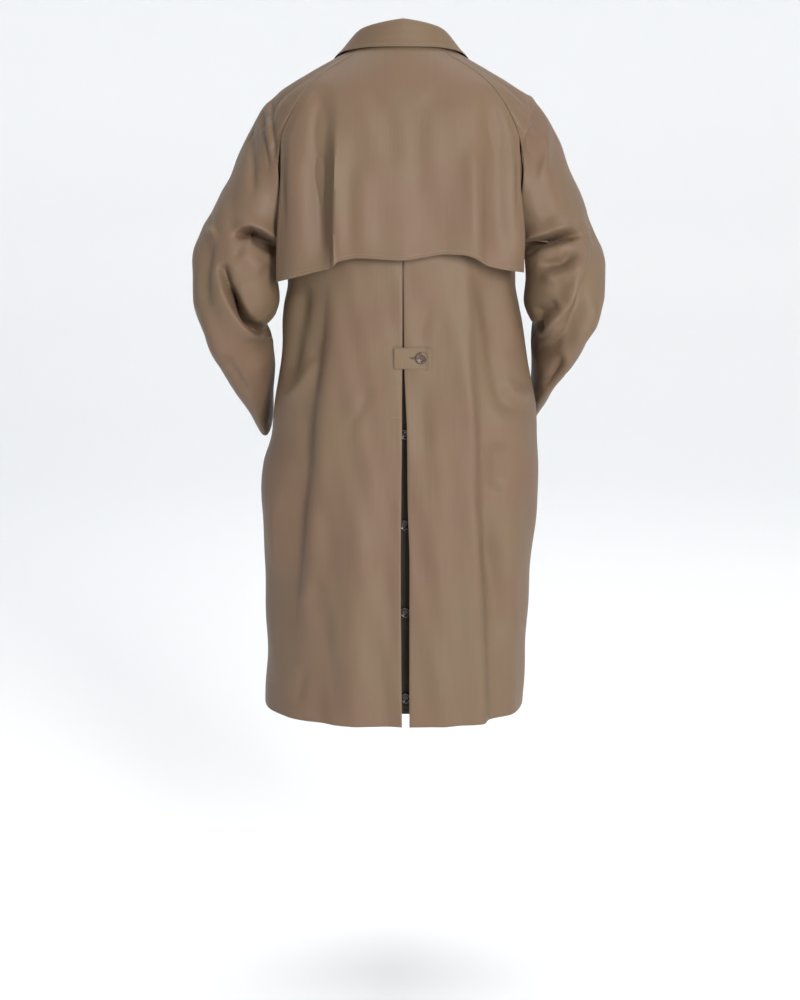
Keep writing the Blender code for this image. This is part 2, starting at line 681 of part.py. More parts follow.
def make_button(name, seat, out):
    """A horn button with a raised rim and a dished middle, turned about the way that the cloth faces."""
    across = unit(np.cross(out, (0.0, 0.0, 1.0)))
    up = np.cross(across, out)
    scale = BUTTON_ACROSS / 2 / BUTTON_PROFILE["radius"].max()
    points = []
    for radius, height in zip(BUTTON_PROFILE["radius"][1:-1], BUTTON_PROFILE["height"][1:-1]):
        for k in range(BUTTON_SIDES):
            turn = 2 * math.pi * k / BUTTON_SIDES
            spoke = across * math.cos(turn) + up * math.sin(turn)
            points.append(seat + spoke * radius * scale + out * height * scale)
    rings = len(points) // BUTTON_SIDES
    points.append(seat + out * BUTTON_PROFILE["height"][0] * scale)
    points.append(seat)
    faces = []
    for k in range(BUTTON_SIDES):
        n = (k + 1) % BUTTON_SIDES
        faces.append((len(points) - 2, k, n))
        faces.append((len(points) - 1, (rings - 1) * BUTTON_SIDES + n, (rings - 1) * BUTTON_SIDES + k))
        for r in range(rings - 1):
            a = r * BUTTON_SIDES
            b = a + BUTTON_SIDES
            faces += [(a + k, b + k, b + n), (a + k, b + n, a + n)]
    solid(name, points, faces, HORN, HORN_ROUGHNESS)


VENT_BUTTONS = table("across down", (3, 603), (2, 747), (3, 888), (4, 1028))
TAB_BUTTON = (0.0275, 0.4825)
BUTTON_SEAT = 0.0005  # the thread's room under a button


def make_buttons():
    face, out = tab_face(*(np.array([v]) for v in TAB_BUTTON))
    make_button("tab_button", face[0] + out[0] * BUTTON_SEAT, out[0])
    for k, (across, down) in enumerate(zip(VENT_BUTTONS["across"], VENT_BUTTONS["down"]), start=1):
        face, out = underlay_face(np.array([across / 1000]), np.array([down / 1000]))
        make_button(f"vent_button_{k}", face[0] + out[0] * BUTTON_SEAT, out[0])


# The slanted pockets, from the top of their opening to its lower end
POCKET_TOP = (0.150, 0.600)
POCKET_END = (0.188, 0.768)
WELT_WIDE = 0.034
WELT_START = 0.03  # how far outside the front the search for its face starts
WELT_OFF = 0.0006  # space between the welt and the front that carries it


def make_welt(side, name, front):
    """A pocket's welt, sewn on the front and slanting down towards the side seam."""
    corners = [vertex.co for vertex in front.data.vertices]
    carrier = BVHTree.FromPolygons(corners, [face.vertices for face in front.data.polygons])
    run = np.array(POCKET_END) - np.array(POCKET_TOP)
    square = np.array([run[1], -run[0]]) / np.linalg.norm(run)
    along, wide = np.meshgrid(steps(0, 1, 32), steps(0, 1, 6), indexing="ij")
    across = side * (POCKET_TOP[0] + run[0] * along - square[0] * WELT_WIDE * wide)
    down = POCKET_TOP[1] + run[1] * along - square[1] * WELT_WIDE * wide
    angle = angle_at(across, down, front=True)
    out = facing(body, angle, down, -1)
    points = body(angle, down)
    for place in np.ndindex(angle.shape):
        away = Vector(out[place])
        seat = carrier.ray_cast(Vector(points[place]) + away * WELT_START, -away)[0]
        points[place] = seat + away * (CLOTH + WELT_OFF)
    wall(name, points, out, CLOTH, TAUPE, TAUPE_ROUGHNESS)


def fold_line(angle):
    """The collar's fold, above the neck seam and leaning in."""
    turn = np.degrees(np.abs(angle))
    base = plain_body(angle, 0 * angle)
    level = base * np.array([1, 1, 0])
    height = smooth(STAND["angle"], STAND["height"] / 1000, turn)
    lean = smooth(STAND["angle"], STAND["lean"] / 1000, turn)
    return base - unit(level) * lean[..., None] + np.array([0, 0, 1]) * height[..., None]


COLLAR_END = math.radians(174)


def make_stand():
    """The collar's stand: a band round the neck seam, up to the fold."""
    angle, share = np.meshgrid(steps(-COLLAR_END, COLLAR_END, 32), np.array([0.0, 0.5, 0.94]))
    base = plain_body(angle, 0 * angle) + np.array([0, 0, SEAM])
    level = unit(base * np.array([1, 1, 0]))
    points = base + (fold_line(angle) - base) * share[..., None] - level * 0.0012
    wall("collar_stand", points, level, CLOTH, TAUPE, TAUPE_ROUGHNESS)


def leaf(angle, share):
    """The collar's leaf, from the fold, share 0, to its outer edge, share 1."""
    turn = np.degrees(np.abs(angle))
    side = np.where(angle < 0, -1.0, 1.0)
    edge_angle = side * np.radians(smooth(LEAF["fold"], LEAF["edge"], turn))
    edge_down = smooth(LEAF["fold"], LEAF["down"] / 1000, turn)
    top = fold_line(angle)
    seam = plain_body(angle, 0 * angle)
    edge = plain_body(edge_angle, edge_down) + body_out(edge_angle, edge_down) * LEAF_OFF
    level = unit(seam * np.array([1, 1, 0]))
    fall = np.linalg.norm(edge - top, axis=-1, keepdims=True)
    leave = (level * 0.55 + np.array([0, 0, 0.35])) * fall
    downhill = plain_body(edge_angle, edge_down + 0.004) - plain_body(edge_angle, edge_down)
    arrive = unit(downhill + (edge - seam) * 0.05) * fall * 0.7
    return hermite(share[..., None], top, leave, edge, arrive)


def make_leaf():
    angle, share = np.meshgrid(steps(-COLLAR_END, COLLAR_END, 32), steps(0, 1, 5))
    points = leaf(angle, share)
    round_it = leaf(angle + 0.01, share) - leaf(angle - 0.01, share)
    along = leaf(angle, np.minimum(share + 0.02, 1)) - leaf(angle, np.maximum(share - 0.02, 0))
    out = unit(np.cross(along, round_it))
    wall("collar_leaf", points, out, CLOTH, TAUPE, TAUPE_ROUGHNESS)


for old in list(bpy.data.objects):
    bpy.data.objects.remove(old)

make_back(-1, "back_left")
make_back(1, "back_right")
front_left = make_front(-1, "front_left")
front_right = make_front(1, "front_right")
make_sleeve(-1, False, "sleeve_left_back")
make_sleeve(-1, True, "sleeve_left_front")
make_sleeve(1, False, "sleeve_right_back")
make_sleeve(1, True, "sleeve_right_front")
make_yoke()
make_underlay()
make_tab()
make_buttons()
make_welt(-1, "pocket_welt_left", front_left)
make_welt(1, "pocket_welt_right", front_right)
make_stand()
make_leaf()
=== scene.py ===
"""A balmacaan coat in its full, worn form, from behind. Metres; +Z up, +X to its right, +Y to its front."""
import math

import bmesh
import bpy
import numpy as np
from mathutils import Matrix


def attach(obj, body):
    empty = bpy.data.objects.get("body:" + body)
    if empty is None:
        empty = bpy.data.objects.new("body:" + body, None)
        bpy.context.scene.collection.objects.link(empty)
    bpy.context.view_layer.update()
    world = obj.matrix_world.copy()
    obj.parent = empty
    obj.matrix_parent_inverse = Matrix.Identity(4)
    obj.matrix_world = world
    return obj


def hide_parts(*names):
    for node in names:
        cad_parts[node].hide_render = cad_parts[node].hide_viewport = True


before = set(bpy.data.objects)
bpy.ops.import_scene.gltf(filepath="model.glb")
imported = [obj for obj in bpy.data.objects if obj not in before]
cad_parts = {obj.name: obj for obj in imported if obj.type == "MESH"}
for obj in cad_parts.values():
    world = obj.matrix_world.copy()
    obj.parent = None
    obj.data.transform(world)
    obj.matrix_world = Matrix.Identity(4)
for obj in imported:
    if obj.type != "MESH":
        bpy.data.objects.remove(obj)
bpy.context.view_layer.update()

# The camera stands 3 m behind the coat's middle plane, level with the chest, and is tilted down.
CAMERA_AT = (-0.0049, -3.0, -0.1972)
CAMERA_TILT = math.radians(79.897)


def placed(name, data):
    """A new object in the scene."""
    thing = bpy.data.objects.new(name, data)
    bpy.context.scene.collection.objects.link(thing)
    return thing


camera = placed("camera", bpy.data.cameras.new("camera"))
camera.data.lens = 66.67
camera.data.sensor_width = 36
camera.location = CAMERA_AT
camera.rotation_euler = (CAMERA_TILT, 0, 0)
bpy.context.scene.camera = camera
bpy.context.scene.view_settings.view_transform = "Standard"


# The two halves of the back. Each is one length of taupe gabardine from the neck seam to the hem, sewn to its
# neighbour down to the vent. The cloth hangs from the shoulders, with long soft folds and short drag lines.
CLOTH = 0.002
SEAM = 0.0003
LENGTH = 1.070
UNDERARM = 0.320
QUARTER = math.pi / 2
TINY = 1e-4
NECK_EDGE = 0.0006
BACK_PACE = 0.0032  # size of a mesh square on the back, which the view shows best
BACK_WIDE = 0.24
FOLD_FADE = 0.28  # share of a fold's length over which it fades at each end
PAST_HEM = -1060  # a fold whose line ends below this height, in mm, runs off the hem
FACING_BACK = (0.15, 0.6)  # how far the cloth has to face a fold's side for it to start, and to be whole
FACING_SIDE = (0.3, 0.7)
EDGE_STEPS = (0, 0.0007, 0.0016, 0.0028)
ROLL = 0.0009  # how far a turned edge sinks, over a width of ROLL_WIDE
ROLL_WIDE = 0.0026


def table(names, *rows):
    """A table with one named column for each word of names."""
    return {name: np.array(column, float) for name, column in zip(names.split(), zip(*rows))}


# The body's rings, in mm, from the neck seam down. A ring's sides, back and front can differ in height.
BODY = table(
    "down side_z back_z front_z left right back front square",
    (0, -4, 0, -70, 70, 66, 62, 76, 2.0),
    (25, -22, -24, -92, 104, 98, 83, 94, 2.1),
    (50, -42, -50, -112, 148, 140, 99, 108, 2.2),
    (80, -68, -82, -140, 198, 190, 113, 120, 2.35),
    (120, -105, -122, -170, 226, 219, 126, 131, 2.5),
    (180, -172, -182, -212, 226, 219, 138, 141, 2.5),
    (250, -248, -252, -262, 208, 201, 146, 147, 2.45),
    (320, -320, -320, -320, 189, 182, 150, 150, 2.4),
    (375, -375, -375, -375, 185, 179, 151, 150, 2.4),
    (413, -413, -413, -413, 193, 187, 151, 149, 2.4),
    (468, -468, -468, -468, 199, 200, 152, 149, 2.4),
    (548, -548, -548, -548, 207, 213, 153, 149, 2.4),
    (611, -611, -611, -611, 213, 219, 154, 149, 2.4),
    (669, -669, -669, -669, 228, 221, 155, 150, 2.35),
    (732, -732, -732, -732, 232, 220, 157, 151, 2.3),
    (851, -851, -851, -851, 227, 209, 160, 153, 2.3),
    (979, -979, -979, -979, 226, 204, 163, 155, 2.3),
    (1070, -1070, -1070, -1070, 230, 200, 165, 157, 2.3),
)
RAGLAN = table(
    "down back_left back_right front",
    (0, 55, 51, 50),
    (25, 82, 75, 68),
    (50, 116, 109, 92),
    (80, 147, 139, 118),
    (120, 172, 164, 142),
    (160, 190, 181, 160),
    (210, 198, 190, 172),
    (265, 197, 190, 181),
    (320, 189, 182, 189),
)
VENT = table(
    "down left right",
    (0, -0.15, 0.15),
    (290, -0.15, 0.15),
    (345, -0.9, 0.5),
    (440, -1.2, 0.9),
    (500, -1.5, 1.8),
    (547, -1.8, 4),
    (599, -2, 6),
    (704, -3, 7),
    (800, -4, 10),
    (1070, -2, 10),
)
SIDE_SEAM = table("down angle", (320, 90), (430, 85), (1070, 84))

# Folds seen from behind, in mm: height (minus for a trough), its reach to the left and right, how crisp its
# line is from 0, round, to 1, a pressed edge, and the line itself. The yoke's deep trough at the left comes
# first, because the back beneath it follows it.
YOKE_TROUGH = (-9, 20, 14, 0, ((-130, -160), (-134, -195), (-132, -242), (-122, -350)))
BACK_FOLDS = (
    (-15, 40, 16, 0, ((-116, -338), (-134, -467), (-147, -557), (-160, -705), (-170, -793), (-182, -960))),
    (5, 10, 30, 0.1, ((-104, -338), (-123, -467), (-136, -557), (-149, -705), (-159, -793), (-171, -960))),
    (-10, 14, 14, 0, ((-150, -362), (-163, -405), (-176, -470), (-194, -532))),
    (6, 10, 12, 0.2, ((-138, -482), (-160, -518), (-190, -562))),
    (-2.2, 9, 9, 0, ((-50, -526), (-68, -566), (-90, -606))),
    (-2, 11, 11, 0, ((-130, -834), (-143, -866), (-158, -902))),
    (-3, 10, 9, 0, ((-158, -980), (-166, -1015), (-172, -1048))),
    (11, 30, 11, 0.2, ((93, -325), (97, -428), (100, -530), (105, -608), (109, -738), (115, -845),
                       (121, -930), (124, -1080))),
    (-13, 18, 24, 0, ((112, -338), (130, -387), (142, -445), (149, -507), (162, -552), (206, -580))),
    (1.2, 4, 4, 0, ((-211, -600), (-224, -728), (-222, -947), (-223, -1067))),
    (1.2, 4, 4, 0, ((206, -800), (202, -911), (192, -1067))),
    (-8, 12, 26, 0, ((118, -440), (126, -600), (134, -760), (142, -900), (146, -1080))),
    (7, 15, 13, 0, ((152, -350), (170, -410), (182, -475))),
    (6, 12, 12, 0.1, ((160, -520), (180, -545), (208, -556))),
    (-8, 15, 17, 0, ((152, -615), (153, -650), (152, -700))),
    (-7, 18, 16, 0, ((130, -745), (140, -808), (153, -894), (160, -960))),
    (5, 16, 16, 0, ((172, -720), (174, -850), (172, -960), (174, -1080))),
    (6, 28, 24, 0, ((-62, -660), (-70, -860), (-82, -1080))),
    (-4, 24, 22, 0, ((-118, -700), (-128, -860), (-136, -1080))),
    (-4, 22, 22, 0, ((-22, -640), (-26, -800), (-30, -1080))),
    (5, 22, 22, 0, ((52, -560), (58, -760), (62, -1080))),
    (-2.5, 10, 11, 0, ((42, -390), (33, -425), (22, -464))),
    (-4, 15, 15, 0, ((28, -505), (32, -560), (36, -640))),
    (5, 10, 9, 0.2, ((-206, -690), (-212, -760), (-212, -860))),
    YOKE_TROUGH,
)
FRONT_FOLDS = (
    (7, 22, 22, 0, ((-84, -250), (-78, -480), (-72, -760), (-70, -1080))),
    (-7, 18, 20, 0, ((-136, -320), (-128, -430), (-120, -540))),
    (-6, 22, 22, 0, ((-128, -830), (-122, -960), (-118, -1080))),
    (7, 22, 22, 0, ((84, -260), (80, -470), (76, -760), (78, -1080))),
    (-7, 18, 20, 0, ((138, -330), (130, -430), (122, -530))),
    (-6, 22, 22, 0, ((126, -840), (120, -960), (118, -1080))),
)
SIDE_FOLDS = ((-12, 44, 44, 0, ((-20, -430), (20, -500), (70, -560), (96, -612))),)


def smooth(knots, values, at):
    """A smooth curve through a table's column that doesn't swing past its rows."""
    at = np.clip(at, knots[0], knots[-1])
    rise = np.diff(values) / np.diff(knots)
    tangent = np.empty_like(values)
    tangent[0] = rise[0]
    tangent[-1] = rise[-1]
    same_way = rise[:-1] * rise[1:] > 0
    total = np.where(same_way, rise[:-1] + rise[1:], 1.0)
    tangent[1:-1] = np.where(same_way, 2 * rise[:-1] * rise[1:] / total, 0.0)
    i = np.clip(np.searchsorted(knots, at, side="right") - 1, 0, len(knots) - 2)
    step = knots[i + 1] - knots[i]
    t = (at - knots[i]) / step
    start = (1 + 2 * t) * (1 - t) ** 2 * values[i] + t * (1 - t) ** 2 * step * tangent[i]
    end = t * t * (3 - 2 * t) * values[i + 1] + t * t * (t - 1) * step * tangent[i + 1]
    return start + end


def read(rows, name, at):
    """A table's column in metres, at a place in metres down the coat."""
    return smooth(rows["down"] / 1000, rows[name] / 1000, at)


def ease(x, start, end):
    """From 0 at start to 1 at end, softly."""
    t = np.clip((x - start) / (end - start), 0, 1)
    return t * t * (3 - 2 * t)


def unit(vectors):
    return vectors / np.maximum(np.linalg.norm(vectors, axis=-1, keepdims=True), 1e-12)


def facing(surface, a, b, turn):
    """The way a surface faces, from the surface's own slopes."""
    along_a = surface(a + TINY, b) - surface(a - TINY, b)
    along_b = surface(a, b + TINY) - surface(a, b - TINY)
    return unit(np.cross(along_a, along_b)) * turn


def fold_height(points, folds, across=0):
    """How far folds drawn on the XZ plane, or on the YZ plane with across=1, lift or sink the points."""
    spot = points[..., (across, 2)] * 1000
    height = np.zeros(spot.shape[:-1])
    for lift, reach_left, reach_right, crisp, line in folds:
        line = np.array(line, float)
        runs = np.diff(line, axis=0)
        lengths = np.linalg.norm(runs, axis=1)
        before = np.concatenate(([0], np.cumsum(lengths)))
        nearest = np.full(height.shape, np.inf)
        side = np.zeros(height.shape)
        place = np.zeros(height.shape)
        for start, run, length, done in zip(line[:-1], runs, lengths, before):
            away = spot - start
            share = np.clip((away @ run) / length**2, 0, 1)
            gap = np.linalg.norm(away - share[..., None] * run, axis=-1)
            closer = gap < nearest
            turned = np.sign(run[0] * away[..., 1] - run[1] * away[..., 0])
            nearest = np.where(closer, gap, nearest)
            side = np.where(closer, turned, side)
            place = np.where(closer, done + share * length, place)
        reach = np.where(side < 0, reach_left, reach_right)
        fade = np.minimum(place, before[-1] - place) / (FOLD_FADE * before[-1])
        runs_off = line[-1][1] < PAST_HEM
        fade = np.where(runs_off & (place > before[-1] / 2), 1, fade)
        far = nearest / reach
        round_one = np.exp(-(far**2))
        pressed = np.exp(-(np.sqrt(far**2 + 0.01) - 0.1) * 1.4)
        height += lift * (round_one * (1 - crisp) + pressed * crisp) * ease(fade, -0.15, 1)
    return height / 1000


def drift(points, size, height, phase):
    """The soft unevenness of hanging cloth: waves of about this size across, and three times that down."""
    across = 2 * math.pi * points[..., 0] / size
    along = 2 * math.pi * points[..., 2] / (3 * size)
    waves = np.sin(across + 0.9 * along + phase) + np.sin(0.45 * across - 1.7 * along + 2.3 * phase)
    return height / 2.6 * (waves + 0.6 * np.sin(1.7 * across + 1.1 * along + 3.1 * phase))


def plain_body(angle, down, rows=BODY):
    """The body's round form. The angle is 0 at the centre back and grows to the coat's right."""
    sine = np.sin(angle)
    cosine = np.cos(angle)
    across = np.where(sine < 0, read(rows, "left", down), read(rows, "right", down))
    deep = np.where(cosine > 0, read(rows, "back", down), read(rows, "front", down))
    power = read(rows, "square", down) * 1000
    reach = ((np.abs(sine) / across) ** power + (np.abs(cosine) / deep) ** power) ** (-1 / power)
    level = read(rows, "side_z", down)
    end = np.where(cosine > 0, read(rows, "back_z", down), read(rows, "front_z", down))
    height = level + (end - level) * cosine**2
    past = np.maximum(down - LENGTH, 0) + np.minimum(down, 0)
    return np.stack((reach * sine, -reach * cosine, height - past), axis=-1)


def body_out(angle, down):
    return facing(plain_body, angle, down, -1)


def body(angle, down):
    """The body with its folds, which start under the yoke and under the sleeves."""
    points = plain_body(angle, down)
    out = body_out(angle, down)
    lift = fold_height(points, BACK_FOLDS) * ease(-out[..., 1], *FACING_BACK)
    lift = lift + fold_height(points, FRONT_FOLDS) * ease(out[..., 1], *FACING_BACK)
    lift = lift + fold_height(points, SIDE_FOLDS, across=1) * ease(np.abs(out[..., 0]), *FACING_SIDE)
    lift = lift + drift(points, size=0.062, height=0.0016, phase=1.3)
    return points + out * (lift * ease(down, UNDERARM - 0.05, UNDERARM + 0.05))[..., None]


def angle_at(across, down, front=False, form=plain_body):
    """The angle at which a ring of the body lies this far from the middle, + to the coat's right."""
    low = np.zeros(np.broadcast(across, down).shape)
    high = np.full(low.shape, QUARTER)
    side = np.where(np.asarray(across) < 0, -1.0, 1.0)
    for _ in range(30):
        middle = (low + high) / 2
        turned = math.pi - middle if front else middle
        short = np.abs(form(side * turned, down)[..., 0]) < np.abs(across)
        low = np.where(short, middle, low)
        high = np.where(short, high, middle)
    return side * (math.pi - middle if front else middle)


def seam_angle(side, down, front=False):
    """The raglan seam above the underarm, and the side seam below it. Side is -1 for left and 1 for right."""
    column = "front" if front else ("back_left" if side < 0 else "back_right")
    raglan = np.abs(angle_at(side * read(RAGLAN, column, down), np.minimum(down, UNDERARM), front))
    below = np.radians(smooth(SIDE_SEAM["down"] / 1000, SIDE_SEAM["angle"], down))
    return side * np.where(down < UNDERARM - 0.002, raglan, below)


def trim(side, down, edge_angle, inward):
    """An edge's angle moved in by half a seam's space."""
    ring = np.linalg.norm(plain_body(edge_angle + 0.01, down) - plain_body(edge_angle, down), axis=-1)
    return edge_angle + side * inward * SEAM / ring * 0.01


def arm_room(down):
    """The extra trim of a panel's edge at the bottom of the armhole, as shares of half a seam's space."""
    return 1 + 3 * ease(down, 0.15, 0.25) * (1 - ease(down, UNDERARM + 0.01, UNDERARM + 0.06))


def back_inset(down):
    """How far the back lies below the yoke that covers it."""
    return (CLOTH + 4 * SEAM + 0.0015 * ease(down, 0.0, 0.06)) * (1 - ease(down, 0.20, UNDERARM))


def edged(length, pace):
    """Shares from 0 to 1 at an even pace, with three more close to each end for a rolled edge."""
    close = np.array(EDGE_STEPS) / length
    count = max(2, int(round((length - 2 * EDGE_STEPS[-1]) / pace)))
    return np.concatenate((close[:-1], np.linspace(close[-1], 1 - close[-1], count + 1), 1 - close[-2::-1]))


def new_material(name, values):
    """A material, its node tree and its shader with these values."""
    material = bpy.data.materials.new(name)
    material.use_nodes = True
    shader = material.node_tree.nodes["Principled BSDF"]
    for key, value in values.items():
        shader.inputs[key].default_value = value
    return material, material.node_tree, shader


def add_node(tree, kind, values=None):
    """A new node of a tree, with some of its inputs set."""
    node = tree.nodes.new(kind)
    for key, value in (values or {}).items():
        node.inputs[key].default_value = value
    return node


def overlay(tree, factor):
    mix = tree.nodes.new("ShaderNodeMix")
    mix.data_type = "RGBA"
    mix.blend_type = "OVERLAY"
    mix.inputs["Factor"].default_value = factor
    return mix


def two_tones(tree, first, second):
    """A ramp between two tones, each with its place."""
    ramp = tree.nodes.new("ShaderNodeValToRGB")
    for element, (position, tone) in zip(ramp.color_ramp.elements, (first, second)):
        element.position = position
        element.color = (*tone, 1)
    return ramp


def shaded(tone, share):
    return tuple(part * share for part in tone)


def join(tree, *steps):
    """Links, each from an output of one node to an input of another."""
    for giver, output, taker, entry in steps:
        tree.links.new(giver.outputs[output], taker.inputs[entry])


def gabardine(name, shade=1.0, twist=0.0):
    """Taupe gabardine: a steep fine twill of two yarns, faintly streaked along the warp, with a soft bloom of
    light at its turned edges. Shade darkens or lightens a piece, and twist turns its grain."""
    gloss = {"Roughness": 0.55, "Specular IOR Level": 0.27}
    bloom = {"Sheen Weight": 0.06, "Sheen Roughness": 0.3, "Sheen Tint": (0.95, 0.86, 0.74, 1)}
    material, tree, shader = new_material(name, {**gloss, **bloom})
    place = add_node(tree, "ShaderNodeUVMap")
    place.uv_map = "cloth"
    turned = add_node(tree, "ShaderNodeMapping", {"Rotation": (0, 0, twist)})
    twill = add_node(tree, "ShaderNodeTexWave", {"Scale": 620, "Distortion": 0.6, "Detail": 1})
    twill.wave_type = "BANDS"
    twill.bands_direction = "DIAGONAL"
    drawn = add_node(tree, "ShaderNodeMapping", {"Scale": (420, 9, 1)})
    streaks = add_node(tree, "ShaderNodeTexNoise", {"Scale": 1, "Detail": 3})
    spot = add_node(tree, "ShaderNodeTexCoord")
    broad = add_node(tree, "ShaderNodeTexNoise", {"Scale": 9, "Detail": 2})
    warp_tone = shaded((0.150, 0.093, 0.060), shade)
    weft_tone = shaded((0.148, 0.100, 0.061), shade)
    tones = two_tones(tree, (0.38, warp_tone), (0.62, weft_tone))
    yarns = overlay(tree, 0.09)
    ribs = overlay(tree, 0.10)
    bump = add_node(tree, "ShaderNodeBump", {"Strength": 0.25, "Distance": 0.0002})
    join(
        tree,
        (place, "UV", turned, "Vector"),
        (turned, "Vector", twill, "Vector"),
        (turned, "Vector", drawn, "Vector"),
        (drawn, "Vector", streaks, "Vector"),
        (spot, "Object", broad, "Vector"),
        (broad, "Fac", tones, "Fac"),
        (tones, "Color", yarns, "A"),
        (streaks, "Fac", yarns, "B"),
        (yarns, "Result", ribs, "A"),
        (twill, "Fac", ribs, "B"),
        (ribs, "Result", shader, "Base Color"),
        (twill, "Fac", bump, "Height"),
        (bump, "Normal", shader, "Normal"),
    )
    return material


def lengths_along(points, axis):
    """How far along its rows or columns each point of a grid lies."""
    step = np.linalg.norm(np.diff(points, axis=axis), axis=-1)
    none = np.zeros_like(np.take(step, [0], axis=axis))
    return np.concatenate((none, np.cumsum(step, axis=axis)), axis=axis)


def cloth_piece(node, outer, out, material, rests_on):
    """A cut piece of cloth with a rolled edge all round, in place of the plain solid of the same name."""
    rows, columns = outer.shape[:2]
    u = lengths_along(outer, 1)
    v = lengths_along(outer, 0)
    from_edge = np.minimum(np.minimum(u, u[:, -1:] - u), np.minimum(v, v[-1:] - v))
    sink = ROLL * (1 - ease(from_edge, 0, ROLL_WIDE))
    top = outer - out * sink[..., None]
    under = outer - out * (CLOTH - sink / 2)[..., None]
    points = np.concatenate((top.reshape(-1, 3), under.reshape(-1, 3)))
    grid = np.arange(rows * columns).reshape(rows, columns)
    quads = np.stack((grid[:-1, :-1], grid[:-1, 1:], grid[1:, 1:], grid[1:, :-1]), axis=-1).reshape(-1, 4)
    edge = np.concatenate((grid[0, :-1], grid[:-1, -1], grid[-1, :0:-1], grid[:0:-1, 0]))
    after = np.roll(edge, -1)
    back = rows * columns
    rim = np.stack((edge, edge + back, after + back, after), axis=-1)
    faces = np.concatenate((quads, quads[:, ::-1] + back, rim))
    name = node + "_cloth"
    mesh = bpy.data.meshes.new(name)
    mesh.from_pydata(points.tolist(), [], faces.tolist())
    work = bmesh.new()
    work.from_mesh(mesh)
    bmesh.ops.recalc_face_normals(work, faces=work.faces)
    work.to_mesh(mesh)
    work.free()
    # A piece that rests on the collar's stand is measured from its first column, another from its middle.
    grain_column = 0 if rests_on == ["collar_stand"] else columns // 2
    across = u - u[:, [grain_column]]
    flat_places = np.stack((across, v), axis=-1).reshape(-1, 2)
    flat_places = np.concatenate((flat_places, flat_places))
    corners = np.empty(len(mesh.loops), dtype=np.int32)
    mesh.loops.foreach_get("vertex_index", corners)
    uv = mesh.uv_layers.new(name="cloth")
    uv.data.foreach_set("uv", flat_places[corners].ravel())
    mesh.shade_smooth()
    mesh.set_sharp_from_angle(angle=math.radians(70))
    mesh.materials.append(material)
    piece = placed(name, mesh)
    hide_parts(node)
    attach(piece, "root")


def fine_rows(start, end, pace):
    return start + (end - start) * edged(end - start, pace)


def back_surface(side, share, down):
    """A place on one half of the back: share 0 at the middle and 1 at its outer seam."""
    edge = trim(side, down, seam_angle(side, down), -arm_room(down))
    middle = angle_at(read(VENT, "left" if side < 0 else "right", down), down)
    angle = middle + (edge - middle) * share
    points = body(angle, down)
    out = facing(body, angle, down, -1)
    return points - out * back_inset(down)[..., None], out


for side, node in ((-1, "back_left"), (1, "back_right")):
    down = fine_rows(NECK_EDGE, LENGTH, BACK_PACE)
    share, down = np.meshgrid(edged(BACK_WIDE, BACK_PACE), down, sparse=True)
    points, out = back_surface(side, share, down)
    cloth_piece(node, points, out, gabardine(node), ["collar_stand"])


# The two fronts, cut like the back and lapped left over right at a covered fly. They lie out of the view, so
# they are plain, with the same cloth and three soft folds each.
FRONT_LAP = 0.035
LAP_AT_NECK = 0.012
UNDER_FROM = 0.035  # the lower front starts to sink this far off the lap, and is wholly under at UNDER_WHOLE
UNDER_WHOLE = 0.006
FRONT_PACE = 0.006
FRONT_WIDE = 0.27


def front_surface(side, share, down):
    """A place on one front: share 0 at its side seam and 1 at its free edge."""
    edge = trim(side, down, seam_angle(side, down, front=True), arm_room(down))
    past = angle_at(-side * np.minimum(FRONT_LAP, LAP_AT_NECK + down), down, front=True)
    middle = side * (2 * math.pi - np.abs(past))
    angle = edge + (middle - edge) * share
    points = body(angle, down)
    out = facing(body, angle, down, -1)
    if side > 0:
        under = 1 - ease(points[..., 0], FRONT_LAP + UNDER_WHOLE, FRONT_LAP + UNDER_FROM)
        points = points - out * (under * (CLOTH + 3 * SEAM))[..., None]
    return points, out


for side, node in ((-1, "front_left"), (1, "front_right")):
    down = fine_rows(NECK_EDGE, LENGTH, FRONT_PACE)
    share, down = np.meshgrid(edged(FRONT_WIDE, FRONT_PACE), down, sparse=True)
    points, out = front_surface(side, share, down)
    cloth_piece(node, points, out, gabardine(node), ["collar_stand"])


# The raglan sleeves, each of two pieces joined along its top and its underside. The elbows are bent, so the
# cloth bunches inside the elbow and hangs in a deep slanting fold across the back of it.
SLEEVE_PACE = 0.0044
SLEEVE_BACK_PACE = 0.0028
HEAD_LONG = 0.24
ARM_LONG = 0.56
SLEEVE_ROUND = 0.36
LAST_RING = 10
RING_STEP = 0.05
ROUND_STEP = 0.05
HEAD_STEP = 0.1
UNDER_LEAVE = 0.6  # how strongly the sleeve's underside leaves the body
OUT_REACH = 0.02  # the facing is measured over this share of a ring, and over ELBOW_REACH more at the elbow
ELBOW_REACH = 0.7
ELBOW_RINGS = (2.4, 4.2)
FACING_SLEEVE_BACK = (-0.08, 0.35)
FACING_SLEEVE_FRONT = (0.05, 0.45)
HEAD_SEAM = 0.7  # the sleeve's space off the raglan seam, in seams, and what is added on its underside
UNDERARM_SEAM = 4
NECK_COLUMNS = 13
SEAM_CROWD = 0.8
SLEEVE_COLUMNS = "ring outer_x outer_z inner_x inner_z middle_y depth square"
